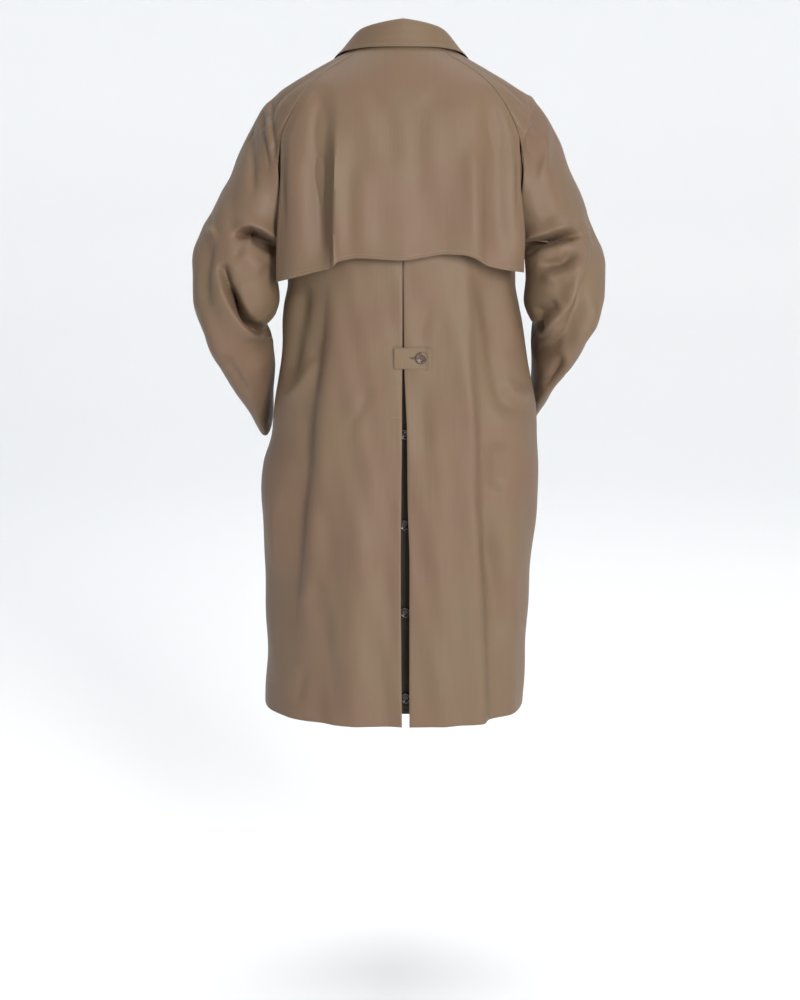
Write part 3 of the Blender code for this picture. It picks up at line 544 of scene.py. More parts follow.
LEFT_SLEEVE = table(
    SLEEVE_COLUMNS,
    (1.0, -253, -160, -203, -330, 2, 97, 2.1),
    (2.0, -291, -235, -204, -348, -8, 92, 2.1),
    (3.0, -322, -294, -202, -372, -20, 88, 2.1),
    (4.0, -336, -345, -198, -400, -30, 84, 2.1),
    (5.0, -334, -400, -203, -424, -33, 80, 2.1),
    (6.0, -321, -438, -224, -449, -26, 77, 2.1),
    (7.0, -305, -478, -210, -476, -8, 75, 2.1),
    (8.0, -285, -515, -210, -512, 22, 73, 2.1),
    (9.0, -263, -552, -214, -548, 58, 70, 2.1),
    (10.0, -246, -582, -217, -580, 94, 67, 2.1),
)
RIGHT_SLEEVE = table(
    SLEEVE_COLUMNS,
    (1.0, 250, -163, 197, -330, 2, 97, 2.1),
    (2.0, 281, -232, 198, -348, -8, 92, 2.1),
    (3.0, 304, -292, 196, -372, -20, 88, 2.1),
    (4.0, 322, -348, 193, -400, -30, 84, 2.1),
    (5.0, 321, -392, 199, -424, -33, 80, 2.1),
    (6.0, 298, -431, 212, -449, -22, 77, 2.1),
    (7.0, 273, -468, 209, -474, 6, 75, 2.1),
    (8.0, 258, -505, 212, -501, 44, 72, 2.1),
    (9.0, 248, -536, 214, -530, 84, 69, 2.1),
    (10.0, 238, -560, 216, -556, 120, 66, 2.1),
)
NECK_SHARE = 0.4
SEAM_PACE = 0.62
CAP = table("turn leave arrive", (0, 2.3, 1.15), (23, 1.85, 1.1), (45, 1.3, 1), (75, 1.0, 1), (180, 1, 1))
SLEEVE_BACK_FOLDS = (
    (-5, 3, 6, 0.2, ((-209, -84), (-206, -125), (-199, -186))),
    (3, 4, 5, 0.2, ((-214, -84), (-212, -125), (-205, -192))),
    (-4, 3, 8, 0.2, ((-222, -94), (-219, -135), (-208, -200))),
    (-6, 8, 8, 0, ((-242, -120), (-238, -175), (-232, -240))),
    (-36, 8, 3.5, 0, ((-262, -296), (-250, -291), (-238, -289), (-227, -293), (-212, -304), (-190, -322))),
    (-26, 9, 7, 0, ((-234, -296), (-222, -301), (-210, -310), (-196, -322))),
    (11, 3, 16, 0.1, ((-266, -290), (-250, -285), (-238, -283), (-226, -287), (-211, -298), (-190, -316))),
    (5, 15, 15, 0, ((-256, -322), (-234, -338), (-214, -354))),
    (-44, 3.5, 8, 0, ((-278, -360), (-271, -383), (-260, -407), (-246, -429), (-229, -448), (-200, -466),
                      (-160, -480))),
    (-12, 6, 10, 0, ((-284, -340), (-280, -354), (-275, -370))),
    (-10, 8, 30, 0, ((-276, -350), (-268, -376), (-257, -400), (-244, -422), (-228, -440), (-205, -456))),
    (11, 22, 3.5, 0.2, ((-290, -344), (-284, -364), (-277, -386), (-266, -411), (-251, -435), (-233, -455),
                        (-204, -472))),
    (-12, 7, 8, 0.1, ((-326, -232), (-314, -262), (-300, -296))),
    (8, 9, 6, 0.2, ((-322, -248), (-308, -276), (-290, -306))),
    (7, 14, 14, 0, ((-322, -330), (-316, -400), (-292, -470), (-264, -540))),
    (-9, 12, 12, 0, ((-304, -292), (-310, -356), (-304, -416))),
    (-7, 9, 9, 0, ((-284, -478), (-264, -518), (-246, -560))),
    (5, 4, 10, 0.2, ((200, -70), (196, -115), (187, -156))),
    (-8, 6, 9, 0, ((208, -92), (202, -130), (191, -172))),
    (6, 8, 10, 0, ((228, -110), (222, -160), (214, -220))),
    (-38, 3.5, 9, 0, ((282, -298), (268, -293), (254, -293), (236, -297), (216, -304), (202, -309),
                      (186, -318), (160, -330))),
    (12, 16, 3, 0.1, ((276, -288), (254, -287), (236, -291), (216, -298), (202, -303), (180, -314))),
    (-11, 8, 10, 0, ((208, -338), (224, -343), (246, -339), (270, -322))),
    (7, 9, 9, 0, ((214, -360), (234, -363), (260, -352), (278, -338))),
    (-8, 11, 11, 0, ((204, -420), (220, -416), (244, -400))),
    (13, 16, 6, 0.1, ((292, -306), (284, -324), (274, -368), (258, -402), (232, -436), (204, -462))),
    (-14, 8, 22, 0, ((290, -330), (283, -356), (273, -404), (253, -447), (230, -474), (210, -492))),
    (-32, 7, 5, 0, ((186, -447), (198, -447), (209, -444), (222, -432))),
    (6, 12, 12, 0, ((304, -392), (292, -440), (266, -486))),
    (-7, 9, 9, 0, ((254, -486), (240, -518), (226, -548))),
    (-9, 8, 8, 0.1, ((296, -258), (304, -286), (308, -318))),
)
SLEEVE_FRONT_FOLDS = (
    (-7, 11, 13, 0, ((-262, -270), (-236, -300), (-206, -330))),
    (-8, 11, 14, 0, ((-300, -370), (-262, -410), (-226, -446))),
    (3, 14, 14, 0, ((-300, -330), (-262, -372), (-226, -410))),
    (-5, 12, 12, 0, ((-290, -470), (-262, -520), (-240, -566))),
    (-7, 11, 13, 0, ((258, -268), (232, -298), (202, -330))),
    (-8, 11, 14, 0, ((292, -366), (258, -408), (222, -446))),
    (3, 14, 14, 0, ((292, -326), (258, -368), (222, -408))),
    (-5, 12, 12, 0, ((276, -462), (256, -510), (240, -552))),
)


def seam_ring(side, around):
    """The sleeve's first ring: along the neck over its top, and down the raglan seams to the underarm."""
    around = np.mod(around, 2 * math.pi)
    front = around > math.pi
    turn = np.where(front, 2 * math.pi - around, around)
    down = UNDERARM * np.clip((turn - NECK_SHARE) / (math.pi - NECK_SHARE), 0, 1) ** SEAM_PACE
    start = np.where(front, seam_angle(side, 0 * down, True), seam_angle(side, 0 * down))
    on_neck = side * QUARTER + (start - side * QUARTER) * np.clip(turn / NECK_SHARE, 0, 1)
    on_seam = np.where(front, seam_angle(side, down, True), seam_angle(side, down))
    return np.where(turn < NECK_SHARE, on_neck, on_seam), down


def sleeve_middle(rows, ring):
    """The middle of a ring of the sleeve, and the way from there to its outer side."""
    outer, inner = [
        np.stack([smooth(rows["ring"], rows[column] / 1000, ring) for column in columns], -1)
        for columns in (("outer_x", "middle_y", "outer_z"), ("inner_x", "middle_y", "inner_z"))
    ]
    return (outer + inner) / 2, (outer - inner) / 2


def sleeve_section(side, around, ring):
    """A point of the sleeve below the armhole. Around is 0 on the outside, a quarter turn on at the back."""
    rows = LEFT_SLEEVE if side < 0 else RIGHT_SLEEVE
    ring = np.clip(ring, 1, LAST_RING)
    middle, half = sleeve_middle(rows, ring)
    ahead = sleeve_middle(rows, np.minimum(ring + RING_STEP, LAST_RING))[0]
    behind = sleeve_middle(rows, np.minimum(ring, LAST_RING - RING_STEP) - RING_STEP)[0]
    back = unit(np.cross(ahead - behind, half)) * side
    depth = smooth(rows["ring"], rows["depth"] / 1000, ring)
    power = smooth(rows["ring"], rows["square"], ring)
    cosine = np.cos(around)
    sine = np.sin(around)
    reach = (np.abs(cosine) ** power + np.abs(sine) ** power) ** (-1 / power)
    return middle + half * (reach * cosine)[..., None] + back * (reach * sine * depth)[..., None]


def hermite(t, start, leave, end, arrive):
    first = (1 + 2 * t) * (1 - t) ** 2 * start + t * (1 - t) ** 2 * leave
    return first + t * t * (3 - 2 * t) * end + t * t * (t - 1) * arrive


def under_side(around):
    """1 on the sleeve's underside, where it stands out from the body, and 0 along its top."""
    return ease(-np.cos(around), -0.1, 0.6)[..., None]


def plain_sleeve(side, around, ring):
    """The sleeve from the raglan seam, ring 0, to the cuff, ring 10."""
    angle, down = seam_ring(side, around)
    start = plain_body(angle, down)
    out = body_out(angle, np.maximum(down, NECK_EDGE))
    first = np.ones_like(around)
    end = sleeve_section(side, around, first)
    chord = end - start
    length = np.linalg.norm(chord, axis=-1)
    under = under_side(around)
    along_body = chord - out * np.sum(chord * out, axis=-1, keepdims=True) * (1 - under)
    along_body = along_body + out * (length * UNDER_LEAVE)[..., None] * under
    down_arm = sleeve_section(side, around, first + HEAD_STEP) - end
    turn = np.degrees(np.abs(np.mod(around + math.pi, 2 * math.pi) - math.pi))
    leave = unit(along_body) * (length * smooth(CAP["turn"], CAP["leave"], turn))[..., None]
    arrive = unit(down_arm) * (length * smooth(CAP["turn"], CAP["arrive"], turn))[..., None]
    head = hermite(np.clip(ring, 0, 1)[..., None], start, leave, end, arrive)
    return np.where(ring[..., None] < 1, head, sleeve_section(side, around, ring))


def sleeve_out(side, around, ring):
    """The way the sleeve faces: the body's own way at the raglan seam, and evened out at the elbow."""
    reach = OUT_REACH + ELBOW_REACH * ease(ring, *ELBOW_RINGS)
    low = np.maximum(ring - reach, 0.0)
    high = np.minimum(ring + reach, LAST_RING)
    along = plain_sleeve(side, around, high) - plain_sleeve(side, around, low)
    round_it = plain_sleeve(side, around + ROUND_STEP, ring) - plain_sleeve(side, around - ROUND_STEP, ring)
    free = unit(np.cross(round_it, along)) * side
    angle, down = seam_ring(side, around)
    seam = body_out(angle, np.maximum(down, NECK_EDGE))
    share = np.maximum(ease(ring, 0, 0.5)[..., None], under_side(around))
    return unit(seam * (1 - share) + free * share)


def sleeve_surface(side, around, ring):
    points = plain_sleeve(side, around, ring)
    out = sleeve_out(side, around, ring)
    lift = fold_height(points, SLEEVE_BACK_FOLDS) * ease(-out[..., 1], *FACING_SLEEVE_BACK)
    lift = lift + fold_height(points, SLEEVE_FRONT_FOLDS) * ease(out[..., 1], *FACING_SLEEVE_FRONT)
    lift = lift + drift(points, size=0.055, height=0.0018, phase=0.4 + side)
    return points + out * (lift * ease(ring, 0.1, 0.6))[..., None], out


for side, front in ((-1, False), (-1, True), (1, False), (1, True)):
    word = "left" if side < 0 else "right"
    node = f"sleeve_{word}_{'front' if front else 'back'}"
    pace = SLEEVE_PACE if front else SLEEVE_BACK_PACE
    head = edged(HEAD_LONG, pace)
    head = head[head < 1 - pace / (2 * HEAD_LONG)]
    arm = 1 + (LAST_RING - 1) * edged(ARM_LONG, pace)
    arm = np.concatenate(([1.0], arm[arm > 1 + (LAST_RING - 1) * pace / ARM_LONG]))
    on_seam = NECK_SHARE + (math.pi - NECK_SHARE) * edged(SLEEVE_ROUND, pace) ** (SEAM_CROWD / SEAM_PACE)
    around = np.concatenate((NECK_SHARE * np.linspace(0, 1, NECK_COLUMNS + 1)[:-1], on_seam))
    around = 2 * math.pi - around[::-1] if front else around
    around, ring = np.meshgrid(around, np.concatenate((head, arm)), sparse=True)
    points, out = sleeve_surface(side, around, ring)
    # The head's edge keeps off the raglan seam, and the long edges keep off the seams that join the halves.
    off_seam = SEAM * (HEAD_SEAM + UNDERARM_SEAM * under_side(around[0]))
    share_off = (1 - ease(ring, 0, 0.03))[..., None]
    points = points + share_off * (unit(points[2] - points[0]) * off_seam)[None]
    for edge_column, next_column in ((0, 3), (-1, -4)):
        points[:, edge_column] += unit(points[:, next_column] - points[:, edge_column]) * SEAM * 0.5
    cloth_piece(node, points, out, gabardine(node), [f"back_{word}", f"front_{word}"])


# The storm yoke: one loose layer over the top of the back, caught in the neck and raglan seams. Its sides and
# its lower edge hang free, and it stands off the back, with a long trough at each side.
YOKE_PACE = 0.003
YOKE_WIDE = 0.37
YOKE_FREE_LONG = 0.18
YOKE_SPACE = 0.004  # added to the distance from the back that the table gives for the lower edge
YOKE_LOOSE = 0.45  # share of the folds' depth that it has away from its free edges
YOKE_LEAST = 0.25
YOKE_FREE = 0.160
YOKE_SIDE_LEFT = 0.190
YOKE_SIDE_RIGHT = 0.180
YOKE_EDGE = table(
    "across height off",
    (-190, -369, 9),
    (-160, -361, 16),
    (-132, -352, 12),
    (-106, -345, 16),
    (-101, -342, 22),
    (-96, -336, 15),
    (-90, -334, 14),
    (-67, -330, 15),
    (-2, -333, 17),
    (30, -329, 13),
    (60, -324, 15),
    (86, -325, 21),
    (104, -331, 22),
    (124, -342, 14),
    (150, -349, 17),
    (180, -354, 9),
)
YOKE_FOLDS = (
    YOKE_TROUGH,
    (-11, 15, 17, 0, ((-122, -64), (-128, -153), (-124, -242), (-114, -356))),
    (11, 8, 15, 0.3, ((-102, -130), (-97, -240), (-93, -356))),
    (-2.5, 17, 17, 0, ((-66, -62), (-46, -92), (-26, -121), (-12, -210))),
    (-2.5, 17, 17, 0, ((72, -62), (46, -92), (26, -115), (20, -173), (14, -260))),
    (-10, 17, 15, 0, ((126, -64), (141, -152), (140, -242), (146, -356))),
    (8, 16, 15, 0, ((106, -150), (102, -338))),
    (5, 15, 14, 0, ((172, -150), (172, -340))),
    (5, 20, 20, 0, ((-60, -180), (-58, -338))),
)
CAPE = {**BODY, "left": np.maximum.accumulate(BODY["left"]), "right": np.maximum.accumulate(BODY["right"])}


def cape(angle, down):
    """The round form that the yoke follows: the body's, but as wide below the shoulders as at them."""
    return plain_body(angle, down, CAPE)


def yoke_edge(across):
    return -smooth(YOKE_EDGE["across"] / 1000, YOKE_EDGE["height"] / 1000, across)


def yoke_surface(share, sewn, free):
    """A place on the yoke: share -1 to 1 across it, and down its sewn part and then its free part."""
    down = sewn
    for _ in range(4):
        left = np.minimum(read(RAGLAN, "back_left", np.minimum(down, YOKE_FREE)), YOKE_SIDE_LEFT)
        right = np.minimum(read(RAGLAN, "back_right", np.minimum(down, YOKE_FREE)), YOKE_SIDE_RIGHT)
        across = share * (np.where(share < 0, left, right) - SEAM * (1 + 3 * ease(down, 0.05, 0.12)))
        down = sewn + free * (yoke_edge(across) - YOKE_FREE)
    angle = angle_at(across, down, form=cape)
    base = cape(angle, down)
    out = facing(cape, angle, down, -1)
    off = smooth(YOKE_EDGE["across"] / 1000, YOKE_EDGE["off"] / 1000, across)
    off = off * ease(down, 0.09, yoke_edge(across)) + YOKE_SPACE * ease(down, 0.03, 0.12)
    near_edge = np.maximum(ease(1 - np.abs(share), 0, 0.10), ease(down, YOKE_FREE, 0.30))
    loose = np.maximum(near_edge, YOKE_LOOSE * ease(down, 0.04, 0.09))
    fold = fold_height(base, YOKE_FOLDS) + drift(base, size=0.075, height=0.0009, phase=2.1)
    fold = fold * loose * ease(down, 0.03, 0.10)
    lowest = fold_height(base, (YOKE_TROUGH,)) - back_inset(down) + CLOTH + 2 * SEAM
    lift = np.maximum(off * np.maximum(near_edge, YOKE_LEAST) + fold, lowest)
    return base + out * lift[..., None], out


sewn = fine_rows(NECK_EDGE, YOKE_FREE, YOKE_PACE)
sewn = sewn[sewn < YOKE_FREE - YOKE_PACE / 2]
free = edged(YOKE_FREE_LONG, YOKE_PACE)
free = np.concatenate(([0.0], free[free > YOKE_PACE / (2 * YOKE_FREE_LONG)]))
share = edged(YOKE_WIDE, YOKE_PACE) * 2 - 1
rows_sewn = np.concatenate((sewn, np.full(len(free), YOKE_FREE)))
rows_free = np.concatenate((np.zeros(len(sewn)), free))
points, out = yoke_surface(*np.broadcast_arrays(share[None, :], rows_sewn[:, None], rows_free[:, None]))
cloth_piece("back_yoke", points, out, gabardine("back_yoke"), ["back_left", "back_right"])


# The vent's underlay: a strip of cloth behind the opening. It lies in deep shade between the halves of the
# back, so its tone is darkened.
UNDERLAY_SHADE = 0.2
UNDERLAY_TOP = 0.345
UNDERLAY_END = 1.055
UNDERLAY_LEFT = -0.048
UNDERLAY_WIDE = 0.102
UNDERLAY_PACE = 0.004
UNDERLAY = table("down depth", (345, 2.6), (420, 5), (520, 11), (640, 18), (800, 23), (1070, 26))


def underlay_face(across, down):
    angle = angle_at(across, down)
    out = body_out(angle, down)
    depth = smooth(UNDERLAY["down"] / 1000, UNDERLAY["depth"] / 1000, down)
    return plain_body(angle, down) - out * depth[..., None], out


across = UNDERLAY_LEFT + UNDERLAY_WIDE * edged(UNDERLAY_WIDE, UNDERLAY_PACE)
across, down = np.meshgrid(across, fine_rows(UNDERLAY_TOP, UNDERLAY_END, UNDERLAY_PACE))
points, out = underlay_face(across, down)
underlay_cloth = gabardine("vent_underlay", UNDERLAY_SHADE)
cloth_piece("vent_underlay", points, out, underlay_cloth, ["back_left", "back_right"])


# The strap across the top of the vent: two layers turned and pressed, sewn flat at its left end and buttoned
# at its rounded right end, which lifts a little.
TAB_LONG = 0.058
TAB_HIGH = 0.033
TAB_LEFT = -0.015
TAB_TOP = 0.4665
TAB_OFF = 0.0004
TAB_ROUNDING = 0.006
TAB_LIFT = 0.0022
TAB_DROOP = 0.0022
TAB_PACE = 0.0012


def tab_face(across, down):
    angle = angle_at(across, down)
    rise = TAB_LIFT * ease(across, 0.032, 0.043)
    out = body_out(angle, down)
    return plain_body(angle, down) + out * (TAB_OFF + CLOTH + rise)[..., None], out


def tab_outline(share, height):
    """A place on the strap, from its left end, share 0, and its top edge, height 0."""
    across = TAB_LEFT + TAB_LONG * share
    short = np.maximum(across - (TAB_LEFT + TAB_LONG - TAB_ROUNDING), 0)
    cut = TAB_ROUNDING - np.sqrt(np.maximum(TAB_ROUNDING**2 - short**2, 0))
    droop = TAB_DROOP * ease(across, 0.0, 0.040) * height
    return across, TAB_TOP + cut + (TAB_HIGH - 2 * cut + droop) * height


share, height = np.meshgrid(edged(TAB_LONG, TAB_PACE), edged(TAB_HIGH, TAB_PACE))
points, out = tab_face(*tab_outline(share, height))
tab_cloth = gabardine("vent_tab", 1.03, QUARTER)
cloth_piece("vent_tab", points, out, tab_cloth, ["back_left", "back_right"])


# The turn-down collar: a stand round the neck seam, and a leaf that folds over it and lies on the shoulders.
COLLAR_END = math.radians(174)
COLLAR_ROUND = 0.5
COLLAR_ROUND_PACE = 0.0035
COLLAR_PACE = 0.003
STAND_HIGH = 0.03
STAND_REACH = 0.94  # share of the way from the seam to the fold that the stand goes
STAND_IN = 0.0012
LEAF_HIGH = 0.045
LEAF_OFF = 0.0046
LEAF_START = (0.55, 0.35)  # how strongly the leaf leaves its fold, outwards and up
LEAF_SPREAD = 0.05
LEAF_ARRIVE = 0.7
DOWN_STEP = 0.004
TURN_STEP = 0.01
SHARE_STEP = 0.02
LEAF = table(
    "fold edge down",
    (0, 0, 13),
    (40, 38, 13),
    (75, 74, 18),
    (100, 98, 28),
    (125, 118, 45),
    (150, 136, 66),
    (174, 153, 82),
)
STAND = table("angle height lean", (0, 33, 5), (60, 26, 5), (90, 22, 5), (130, 17, 4), (174, 12, 3))


def fold_line(angle):
    """The collar's fold, above the neck seam and leaning in."""
    turn = np.degrees(np.abs(angle))
    base = plain_body(angle, 0 * angle)
    level = base * np.array([1, 1, 0])
    height = smooth(STAND["angle"], STAND["height"] / 1000, turn)
    lean = smooth(STAND["angle"], STAND["lean"] / 1000, turn)
    return base - unit(level) * lean[..., None] + np.array([0, 0, 1]) * height[..., None]


def leaf(angle, share):
    """The collar's leaf, from the fold, share 0, to its outer edge, share 1."""
    turn = np.degrees(np.abs(angle))
    side = np.where(angle < 0, -1.0, 1.0)
    edge_angle = side * np.radians(smooth(LEAF["fold"], LEAF["edge"], turn))
    edge_down = smooth(LEAF["fold"], LEAF["down"] / 1000, turn)
    top = fold_line(angle)
    seam = plain_body(angle, 0 * angle)
    edge = plain_body(edge_angle, edge_down) + body_out(edge_angle, edge_down) * LEAF_OFF
    level = unit(seam * np.array([1, 1, 0]))
    fall = np.linalg.norm(edge - top, axis=-1, keepdims=True)
    leave = (level * LEAF_START[0] + np.array([0, 0, LEAF_START[1]])) * fall
    downhill = plain_body(edge_angle, edge_down + DOWN_STEP) - plain_body(edge_angle, edge_down)
    arrive = unit(downhill + (edge - seam) * LEAF_SPREAD) * fall * LEAF_ARRIVE
    return hermite(share[..., None], top, leave, edge, arrive)


def leaf_out(angle, share):
    round_it = leaf(angle + TURN_STEP, share) - leaf(angle - TURN_STEP, share)
    along = leaf(angle, np.minimum(share + SHARE_STEP, 1)) - leaf(angle, np.maximum(share - SHARE_STEP, 0))
    return unit(np.cross(along, round_it))


around_neck = COLLAR_END * (2 * edged(COLLAR_ROUND, COLLAR_ROUND_PACE) - 1)
angle, share = np.meshgrid(around_neck, edged(STAND_HIGH, COLLAR_PACE))
base = plain_body(angle, 0 * angle) + np.array([0, 0, SEAM])
level = unit(base * np.array([1, 1, 0]))
points = base + (fold_line(angle) - base) * share[..., None] * STAND_REACH - level * STAND_IN
cloth_piece("collar_stand", points, level, gabardine("collar_stand"), ["back_yoke"])
angle, share = np.meshgrid(around_neck, edged(LEAF_HIGH, COLLAR_PACE))
leaf_cloth = gabardine("collar_leaf", 1.0, QUARTER)
cloth_piece("collar_leaf", leaf(angle, share), leaf_out(angle, share), leaf_cloth, ["collar_stand"])


# The welts of the slanting front pockets, sewn on the fronts.
POCKET_TOP = (0.150, 0.600)
POCKET_END = (0.188, 0.768)
WELT_LONG = 0.172
WELT_WIDE = 0.034
WELT_PACE = 0.003
WELT_OFF = 0.0006
for side, word in ((-1, "left"), (1, "right")):
    node = "pocket_welt_" + word
    run = np.array(POCKET_END) - np.array(POCKET_TOP)
    square = np.array([run[1], -run[0]]) / np.linalg.norm(run)
    along, wide = np.meshgrid(edged(WELT_LONG, WELT_PACE), edged(WELT_WIDE, WELT_PACE), indexing="ij")
    across = side * (POCKET_TOP[0] + run[0] * along - square[0] * WELT_WIDE * wide)
    down = POCKET_TOP[1] + run[1] * along - square[1] * WELT_WIDE * wide
    angle = angle_at(across, down, front=True)
    out = facing(body, angle, down, -1)
    points = body(angle, down) + out * (CLOTH + WELT_OFF)
    cloth_piece(node, points, out, gabardine(node), ["front_" + word])


# The buttons: turned horn-brown buttons 18 mm across, with a raised rim, a dished middle and four holes, sewn
# on with dark thread.
BUTTON_SIDES = 64
BUTTON_PROFILE = (
    (0.0, 1.35), (3.6, 1.4), (4.4, 1.5), (4.9, 1.9), (5.4, 2.5), (6.1, 2.95), (7.0, 3.15), (7.9, 3.0),
    (8.6, 2.5), (8.95, 1.8), (8.9, 1.1), (8.5, 0.5), (7.6, 0.12), (0.0, 0.0),
)
BUTTON_SEAT = 0.0005
HOLE_OUT = 1.75
HOLE_RADIUS = 0.85
HOLE_SIDES = 16
DRILL_PROFILE = ((0, 4), (HOLE_RADIUS, 4), (HOLE_RADIUS, -1), (0, -1))
THREAD_RADIUS = 0.00024
THREAD_APART = 0.32
THREAD_FOOT = 0.6
THREAD_RISE = 1.25
THREAD_END = 0.35


def horn(name, light):
    """Polished horn: brown, cloudy and streaked, with a clear gloss."""
    gloss = {"Roughness": 0.26, "Coat Weight": 0.35, "Coat Roughness": 0.12}
    material, tree, shader = new_material(name, gloss)
    spot = add_node(tree, "ShaderNodeTexCoord")
    drawn = add_node(tree, "ShaderNodeMapping", {"Scale": (320, 320, 90)})
    cloud = add_node(tree, "ShaderNodeTexNoise", {"Scale": 1, "Detail": 4})
    dark = shaded((0.030, 0.016, 0.010), light)
    pale = shaded((0.125, 0.066, 0.042), light)
    tones = two_tones(tree, (0.35, dark), (0.68, pale))
    join(
        tree,
        (spot, "Object", drawn, "Vector"),
        (drawn, "Vector", cloud, "Vector"),
        (cloud, "Fac", tones, "Fac"),
        (tones, "Color", shader, "Base Color"),
    )
    return material


def thread_material(name, colour):
    """Mercerised sewing thread, with the twist of its plies."""
    material, tree, shader = new_material(name, {"Roughness": 0.5, "Sheen Weight": 0.3})
    spot = add_node(tree, "ShaderNodeTexCoord")
    plies = add_node(tree, "ShaderNodeTexWave", {"Scale": 1300})
    plies.bands_direction = "DIAGONAL"
    tones = two_tones(tree, (0.0, shaded(colour, 0.72)), (1.0, colour))
    join(
        tree,
        (spot, "Object", plies, "Vector"),
        (plies, "Fac", tones, "Fac"),
        (tones, "Color", shader, "Base Color"),
    )
    return material


def solid(name, points, faces, material):
    mesh = bpy.data.meshes.new(name)
    mesh.from_pydata([tuple(p) for p in points], [], faces)
    work = bmesh.new()
    work.from_mesh(mesh)
    bmesh.ops.remove_doubles(work, verts=work.verts, dist=1e-7)
    bmesh.ops.recalc_face_normals(work, faces=work.faces)
    work.to_mesh(mesh)
    work.free()
    mesh.shade_smooth()
    mesh.set_sharp_from_angle(angle=math.radians(40))
    mesh.materials.append(material)
    return placed(name, mesh)


def bands(rings, sides):
    """The faces between rings of points, each with this many sides."""
    faces = []
    for r in range(rings - 1):
        for k in range(sides):
            n = (k + 1) % sides
            faces.append((r * sides + k, (r + 1) * sides + k, (r + 1) * sides + n, r * sides + n))
    return faces


def lathe(name, seat, across, up, out, profile, sides, material):
    """A turned solid on a seat. The profile's rows are radius and height in mm, from the top's middle down."""
    turns = np.linspace(0, 2 * math.pi, sides, endpoint=False)
    spokes = np.cos(turns)[:, None] * across + np.sin(turns)[:, None] * up
    rings = [seat + spokes * radius / 1000 + out * height / 1000 for radius, height in profile[1:-1]]
    middles = [seat + out * height / 1000 for height in (profile[0][1], profile[-1][1])]
    points = list(np.concatenate(rings)) + middles
    last = (len(rings) - 1) * sides
    faces = bands(len(rings), sides)
    for k in range(sides):
        n = (k + 1) % sides
        faces.append((len(points) - 2, k, n))
        faces.append((len(points) - 1, last + n, last + k))
    return solid(name, points, faces, material)


def tube(path, radius, sides=8):
    """Points and faces of a closed round thread along a path."""
    along = unit(np.gradient(path, axis=0))
    aside = unit(np.cross(along, np.array([0.3, 0.5, 0.81])))
    other = np.cross(along, aside)
    turns = np.linspace(0, 2 * math.pi, sides, endpoint=False)
    size = np.full(len(path), radius)
    size[[0, -1]] *= THREAD_END
    ring = np.cos(turns)[None, :, None] * aside[:, None] + np.sin(turns)[None, :, None] * other[:, None]
    points = path[:, None] + ring * size[:, None, None]
    faces = bands(len(path), sides)
    faces.append(tuple(range(sides)))
    faces.append(tuple((len(path) - 1) * sides + k for k in range(sides))[::-1])
    return points.reshape(-1, 3), faces


def make_button(node, seat, out, light):
    """One button in place of its plain solid, with its holes cut through and two bars of thread in them."""
    across = unit(np.cross(out, (0.0, 0.0, 1.0)))
    up = np.cross(across, out)
    piece = lathe(node + "_horn", seat, across, up, out, BUTTON_PROFILE, BUTTON_SIDES, horn(node, light))
    for right, high in ((-1, -1), (-1, 1), (1, -1), (1, 1)):
        place = seat + (across * right + up * high) * HOLE_OUT / 1000
        drill = lathe("drill", place, across, up, out, DRILL_PROFILE, HOLE_SIDES, piece.data.materials[0])
        cut = piece.modifiers.new("cut", "BOOLEAN")
        cut.object = drill
        cut.operation = "DIFFERENCE"
        cut.solver = "EXACT"
        cut_mesh = bpy.data.meshes.new_from_object(piece.evaluated_get(bpy.context.evaluated_depsgraph_get()))
        piece.modifiers.clear()
        piece.data = cut_mesh
        bpy.data.objects.remove(drill)
    piece.data.set_sharp_from_angle(angle=math.radians(40))
    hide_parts(node)
    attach(piece, "root")
    points = []
    faces = []
    bow = np.linspace(-1, 1, 9)[:, None]
    rise = THREAD_FOOT + THREAD_RISE * (1 - abs(bow) ** 3) ** 0.5
    for high in (-HOLE_OUT, HOLE_OUT):
        for shift in (-THREAD_APART, 0.0, THREAD_APART):
            path = seat + (across * HOLE_OUT * bow + up * (high + shift) + out * rise) / 1000
            more, rounds = tube(path, THREAD_RADIUS)
            faces += [tuple(i + len(points) for i in face) for face in rounds]
            points += list(more)
    thread = solid(node + "_thread", points, faces, thread_material(node + "_thread", (0.030, 0.026, 0.030)))
    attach(thread, "root")


TAB_BUTTON = (0.0275, 0.4825)
face, out = tab_face(*(np.array([place]) for place in TAB_BUTTON))
make_button("tab_button", face[0] + out[0] * BUTTON_SEAT, out[0], 0.95)
# The vent's buttons sit in the deep shade of the opening, so their horn gets a light of 0.35 against the strap
# button's 0.95: painted shade.
VENT_BUTTONS = ((0.003, 0.603), (0.002, 0.747), (0.003, 0.888), (0.004, 1.028))
for number, (across, down) in enumerate(VENT_BUTTONS, start=1):
    face, out = underlay_face(np.array([across]), np.array([down]))
    make_button(f"vent_button_{number}", face[0] + out[0] * BUTTON_SEAT, out[0], 0.35)


# The sewing: rows of taupe lockstitch set a few millimetres in from the edges that are turned and pressed.
# Each row is a path on the cloth, along which Geometry Nodes sets one small rounded stitch after another.
STITCH_PITCH = 0.0034
STITCH_HALF = 0.00125
THREAD_LIFT = 0.00012


